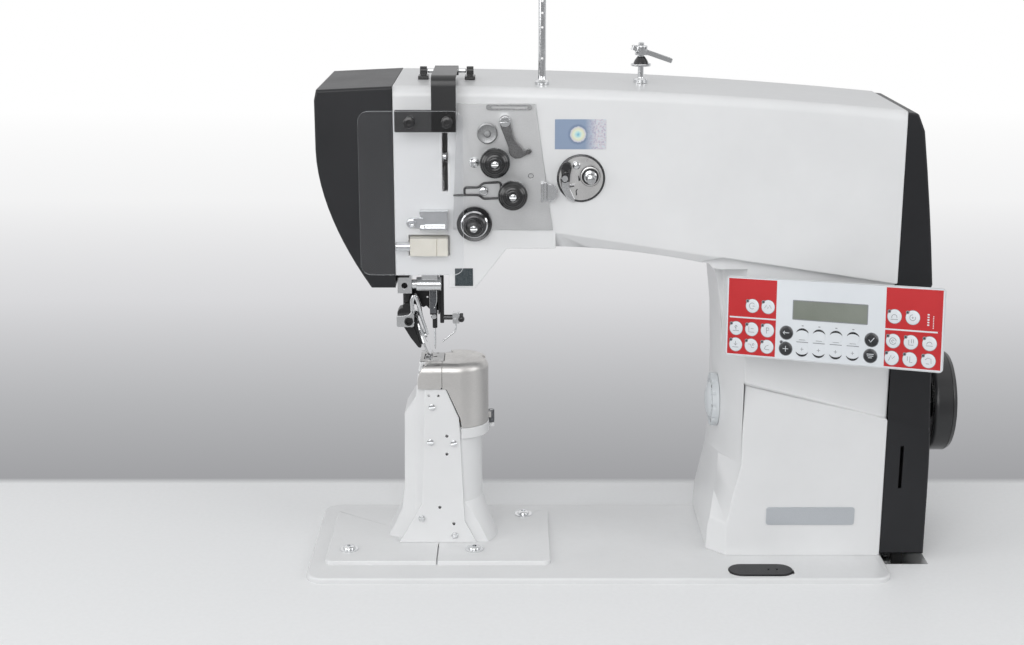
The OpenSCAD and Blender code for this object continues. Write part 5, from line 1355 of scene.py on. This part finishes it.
white_signs = [
    [arc_of(2.6, 40, 320), [(0.4, 0), (2.4, 0)]],
    [[(-3, -1), (-1.5, 1.6), (0, -1.4), (1.5, 1.6), (3, -1)]],
    [[(0, 2.8), (0, -1.2)], [(-2.8, -2), (2.8, -2)], arc_of(1.0, 0, 300, 0, 1.2)],
    [[(-2.4, 2.4), (-2.4, -2.4), (2.6, -2.4)], [(-0.6, 0.6), (1.8, 0.6)]],
    [[(-0.6, 2.6), (-0.6, -2.6)], [(-0.6, 2.4), (1.4, 2.0), (1.5, 0.4), (-0.4, 0.1)]],
    [[(0, 3), (0, -0.6)], [(-1.4, 1), (0, -0.8), (1.4, 1)], [(-2.8, -2.2), (2.8, -2.2)]],
    [[(-2.6, 1.2), (-0.4, 1.2), (0.6, -1.6), (2.8, -1.6)], arc_of(0.8, 0, 300, 2.0, 1.0)],
    [[(-2.2, -2.4), (-1.0, 0.4), (1.6, 1.6)], [(-1.4, -2.4), (2.4, -2.4)]],
    [arc_of(2.2, 200, -20, 0, -0.6), [(-3, -2.4), (3, -2.4)]],
    [arc_of(2.4, 90, 400), [(-0.9, 0), (0.9, 0)], [(0, -0.9), (0, 0.9)]],
    [arc_of(2.7, 0, 340), arc_of(1.0, 0, 300)],
    [[(-1.6, 2), (-1.6, -2.2), (2.2, -2.2)], [(0.6, 2.6), (0.6, -0.6)], [(2.2, 2.6), (2.2, -0.6)]],
    [[(-2.8, -1.8), (2.8, -1.8)], arc_of(2.2, 180, 0, 0, -0.8)],
    [[(-2.4, -2.2), (-0.4, 2.4), (0.6, -0.4), (2.6, 1.6)]],
    [[(-1.8, 2.4), (-1.8, -1.0)], [(0.2, 2.4), (0.2, -2.4), (2.4, -2.4)]],
    [[(-2.6, 0.8), (-0.6, 2.4), (2.2, 1.6), (2.4, -2.0)], [(-1.8, -2.4), (0.8, -2.4)]]]
black_signs = [
    [[(-2.6, 0), (2.6, 0)], [(-1.2, 1.4), (-2.7, 0), (-1.2, -1.4)]],
    [[(0, 2.4), (0, -2.4)], [(-2.4, 0), (2.4, 0)]],
    [[(-2.2, 0), (-0.6, -1.8), (2.4, 2.0)]],
    [[(-3, 1.5), (3, 1.5)], [(-2.6, 0), (2.6, 0)], [(-1.6, -1.5), (1.6, -1.5)]]]
panel_piece("panel_key_signs", signs_on(white_keys, white_signs, 0.42) + bars, print_grey)
panel_piece("panel_black_key_signs", signs_on(black_keys, black_signs, 0.55), foil_white)

# ----------
# Panel bracket and knuckle: a black painted steel clevis on the column's face,
# and the joint block in it that lets the panel swivel and tilt.
dress("panel_bracket", black_enamel, 0.6, segments=3)
dress("panel_knuckle", black_enamel, 0.5, segments=3)

# ----------
# Handwheel: turned from cast aluminium and coated satin black, with a broad flat
# rim, six lightening holes and a bright hub that is pinned to the shaft.
satin_black = skin_material("satin_black", (0.012, 0.0125, 0.014), (0.017, 0.0175, 0.019), 0.36, 1100.0, 0.10,
                            dust=0.05, coat=0.25, dusty=(0.12, 0.12, 0.12))
satin_metal = metal_material("satin_metal", (0.44, 0.445, 0.45), (0.55, 0.555, 0.56), 0.28)
SHAFT_Y, SHAFT_Z = 15, 134


def off_shaft(middle):
    return math.hypot(middle.y - SHAFT_Y, middle.z - SHAFT_Z)


def wheel_edges(middle, normals):
    reach = off_shaft(middle)
    return 2.4 if reach > 44 else 0.8 if reach > 14 else 0.3


dress("handwheel", satin_black, 0.5, wheel_edges, segments=4,
      accents=[(satin_metal, lambda middle, normal: off_shaft(middle) < 15.3)])

# ----------
# Shafts, connecting rod and belts inside the castings. The shafts are ground
# steel in bronze bushes, and the toothed belts are black rubber on steel wheels.
for node in ("drive_shaft", "arm_shaft", "bed_shaft", "hook_shaft", "connecting_rod"):
    dress(node, satin_metal, 0.5)
dress("plain_bushes", metal_material("bronze", (0.42, 0.27, 0.12), (0.52, 0.35, 0.17), 0.36), 0.3)
belt_rubber = skin_material("belt_rubber", (0.016, 0.016, 0.017), (0.026, 0.026, 0.027), 0.7, 1400.0, 0.25,
                            dust=0.3, dusty=(0.16, 0.15, 0.14))
dress("toothed_belts", belt_rubber, 0.3)

# ----------
# Rotary hook, bobbin case, bobbin and feed wheel in the post. They are hardened
# steel, ground and polished, and the feed wheel is knurled for its grip.
polished = metal_material("polished", (0.58, 0.585, 0.59), (0.70, 0.705, 0.71), 0.16)
for node in ("rotary_hook", "bobbin", "bobbin_case"):
    dress(node, polished, 0.4)


def feed_teeth(turn, radius, height):
    return 1 - 0.012 * (math.cos(72 * turn) > 0) if radius > 14.9 else 1


FEED_AXIS = (0, 0, 165.8)
feed_rim = [(0, -9.2), (3, -9.2), (13, -9.0), (14.6, -8.9), (15, -8.5), (15, -4.1), (14.6, -3.7), (13, -3.6), (0, -3.4)]
add_piece("feed_wheel_piece", [moved(turned(feed_rim, 144, feed_teeth), FEED_AXIS, TURN_RIGHT),
                               moved(turned(rod(4, -14.6, -9.0), 32), FEED_AXIS, TURN_RIGHT)],
          polished, "feed_wheel", "feed_wheel")

# ----------
# Stitch dial: a white moulded wheel on a short shaft in the column's left face,
# with a notched rim, a dome, 24 printed ticks and three black marks.
white_moulding = skin_material("white_moulding", (0.62, 0.65, 0.67), (0.68, 0.71, 0.73), 0.40, 1500.0, 0.12, dust=0.15)
TURN_LEFT = Matrix.Rotation(math.radians(-90), 3, "Y")
DIAL_Y, DIAL_Z = 17, 134


def rim_notches(turn, radius, height):
    apart = abs((math.degrees(turn) + 15) % 30 - 15)
    return 1 - 0.045 * max(0, 1 - (apart / 3.4) ** 2) if radius > 23.9 and height > 3.4 else 1


dial = turned([(0, 0), (24.0, 0), (24.5, 0.5), (24.5, 3.3), (24.5, 3.5), (24.5, 6.0), (24.3, 6.35), (23.95, 6.5),
               (16.4, 6.5), (15.9, 6.8), (15.0, 7.7), (12.5, 9.1), (8.0, 10.3), (3.0, 10.9), (0, 11.0)],
              240, rim_notches)
add_piece("stitch_dial_piece", moved(dial, (258.7, DIAL_Y, DIAL_Z), TURN_LEFT), white_moulding,
          "stitch_dial", "stitch_dial")
add_piece("stitch_dial_shaft",
          moved(turned([(0, 0), (4, 0), (4, 13.4), (3.4, 14), (0, 14)], 32), (258, DIAL_Y, DIAL_Z), TURN_RIGHT),
          satin_metal, "stitch_dial")


# A mark drawn upright from the dial's middle and turned round to its place in degrees.
def dial_mark(outline, thick, x, degrees):
    mark = prism(outline, 0, thick)
    mark.transform(Matrix.Translation(Vector((x, DIAL_Y, DIAL_Z)) / 1000)
                   @ Matrix.Rotation(math.radians(degrees), 4, "X") @ Matrix.Rotation(math.radians(-90), 4, "Y"))
    return mark


black_mark = [(-0.9, 19.6), (0.9, 19.6), (1.3, 21.4), (0.9, 23.2), (-0.9, 23.2), (-1.3, 21.4)]
add_piece("stitch_dial_marks", [dial_mark(black_mark, 0.09, 252.14, degrees) for degrees in (130, 180, 230)],
          black_gloss, "stitch_dial")
ticks = []
for step in range(24):
    foot = 17.6 if step % 2 else 16.2
    ticks.append(dial_mark([(-0.25, foot), (0.25, foot), (0.25, 19.6), (-0.25, 19.6)], 0.07, 252.16, 15 * step))
add_piece("stitch_dial_ticks", ticks, print_grey, "stitch_dial")
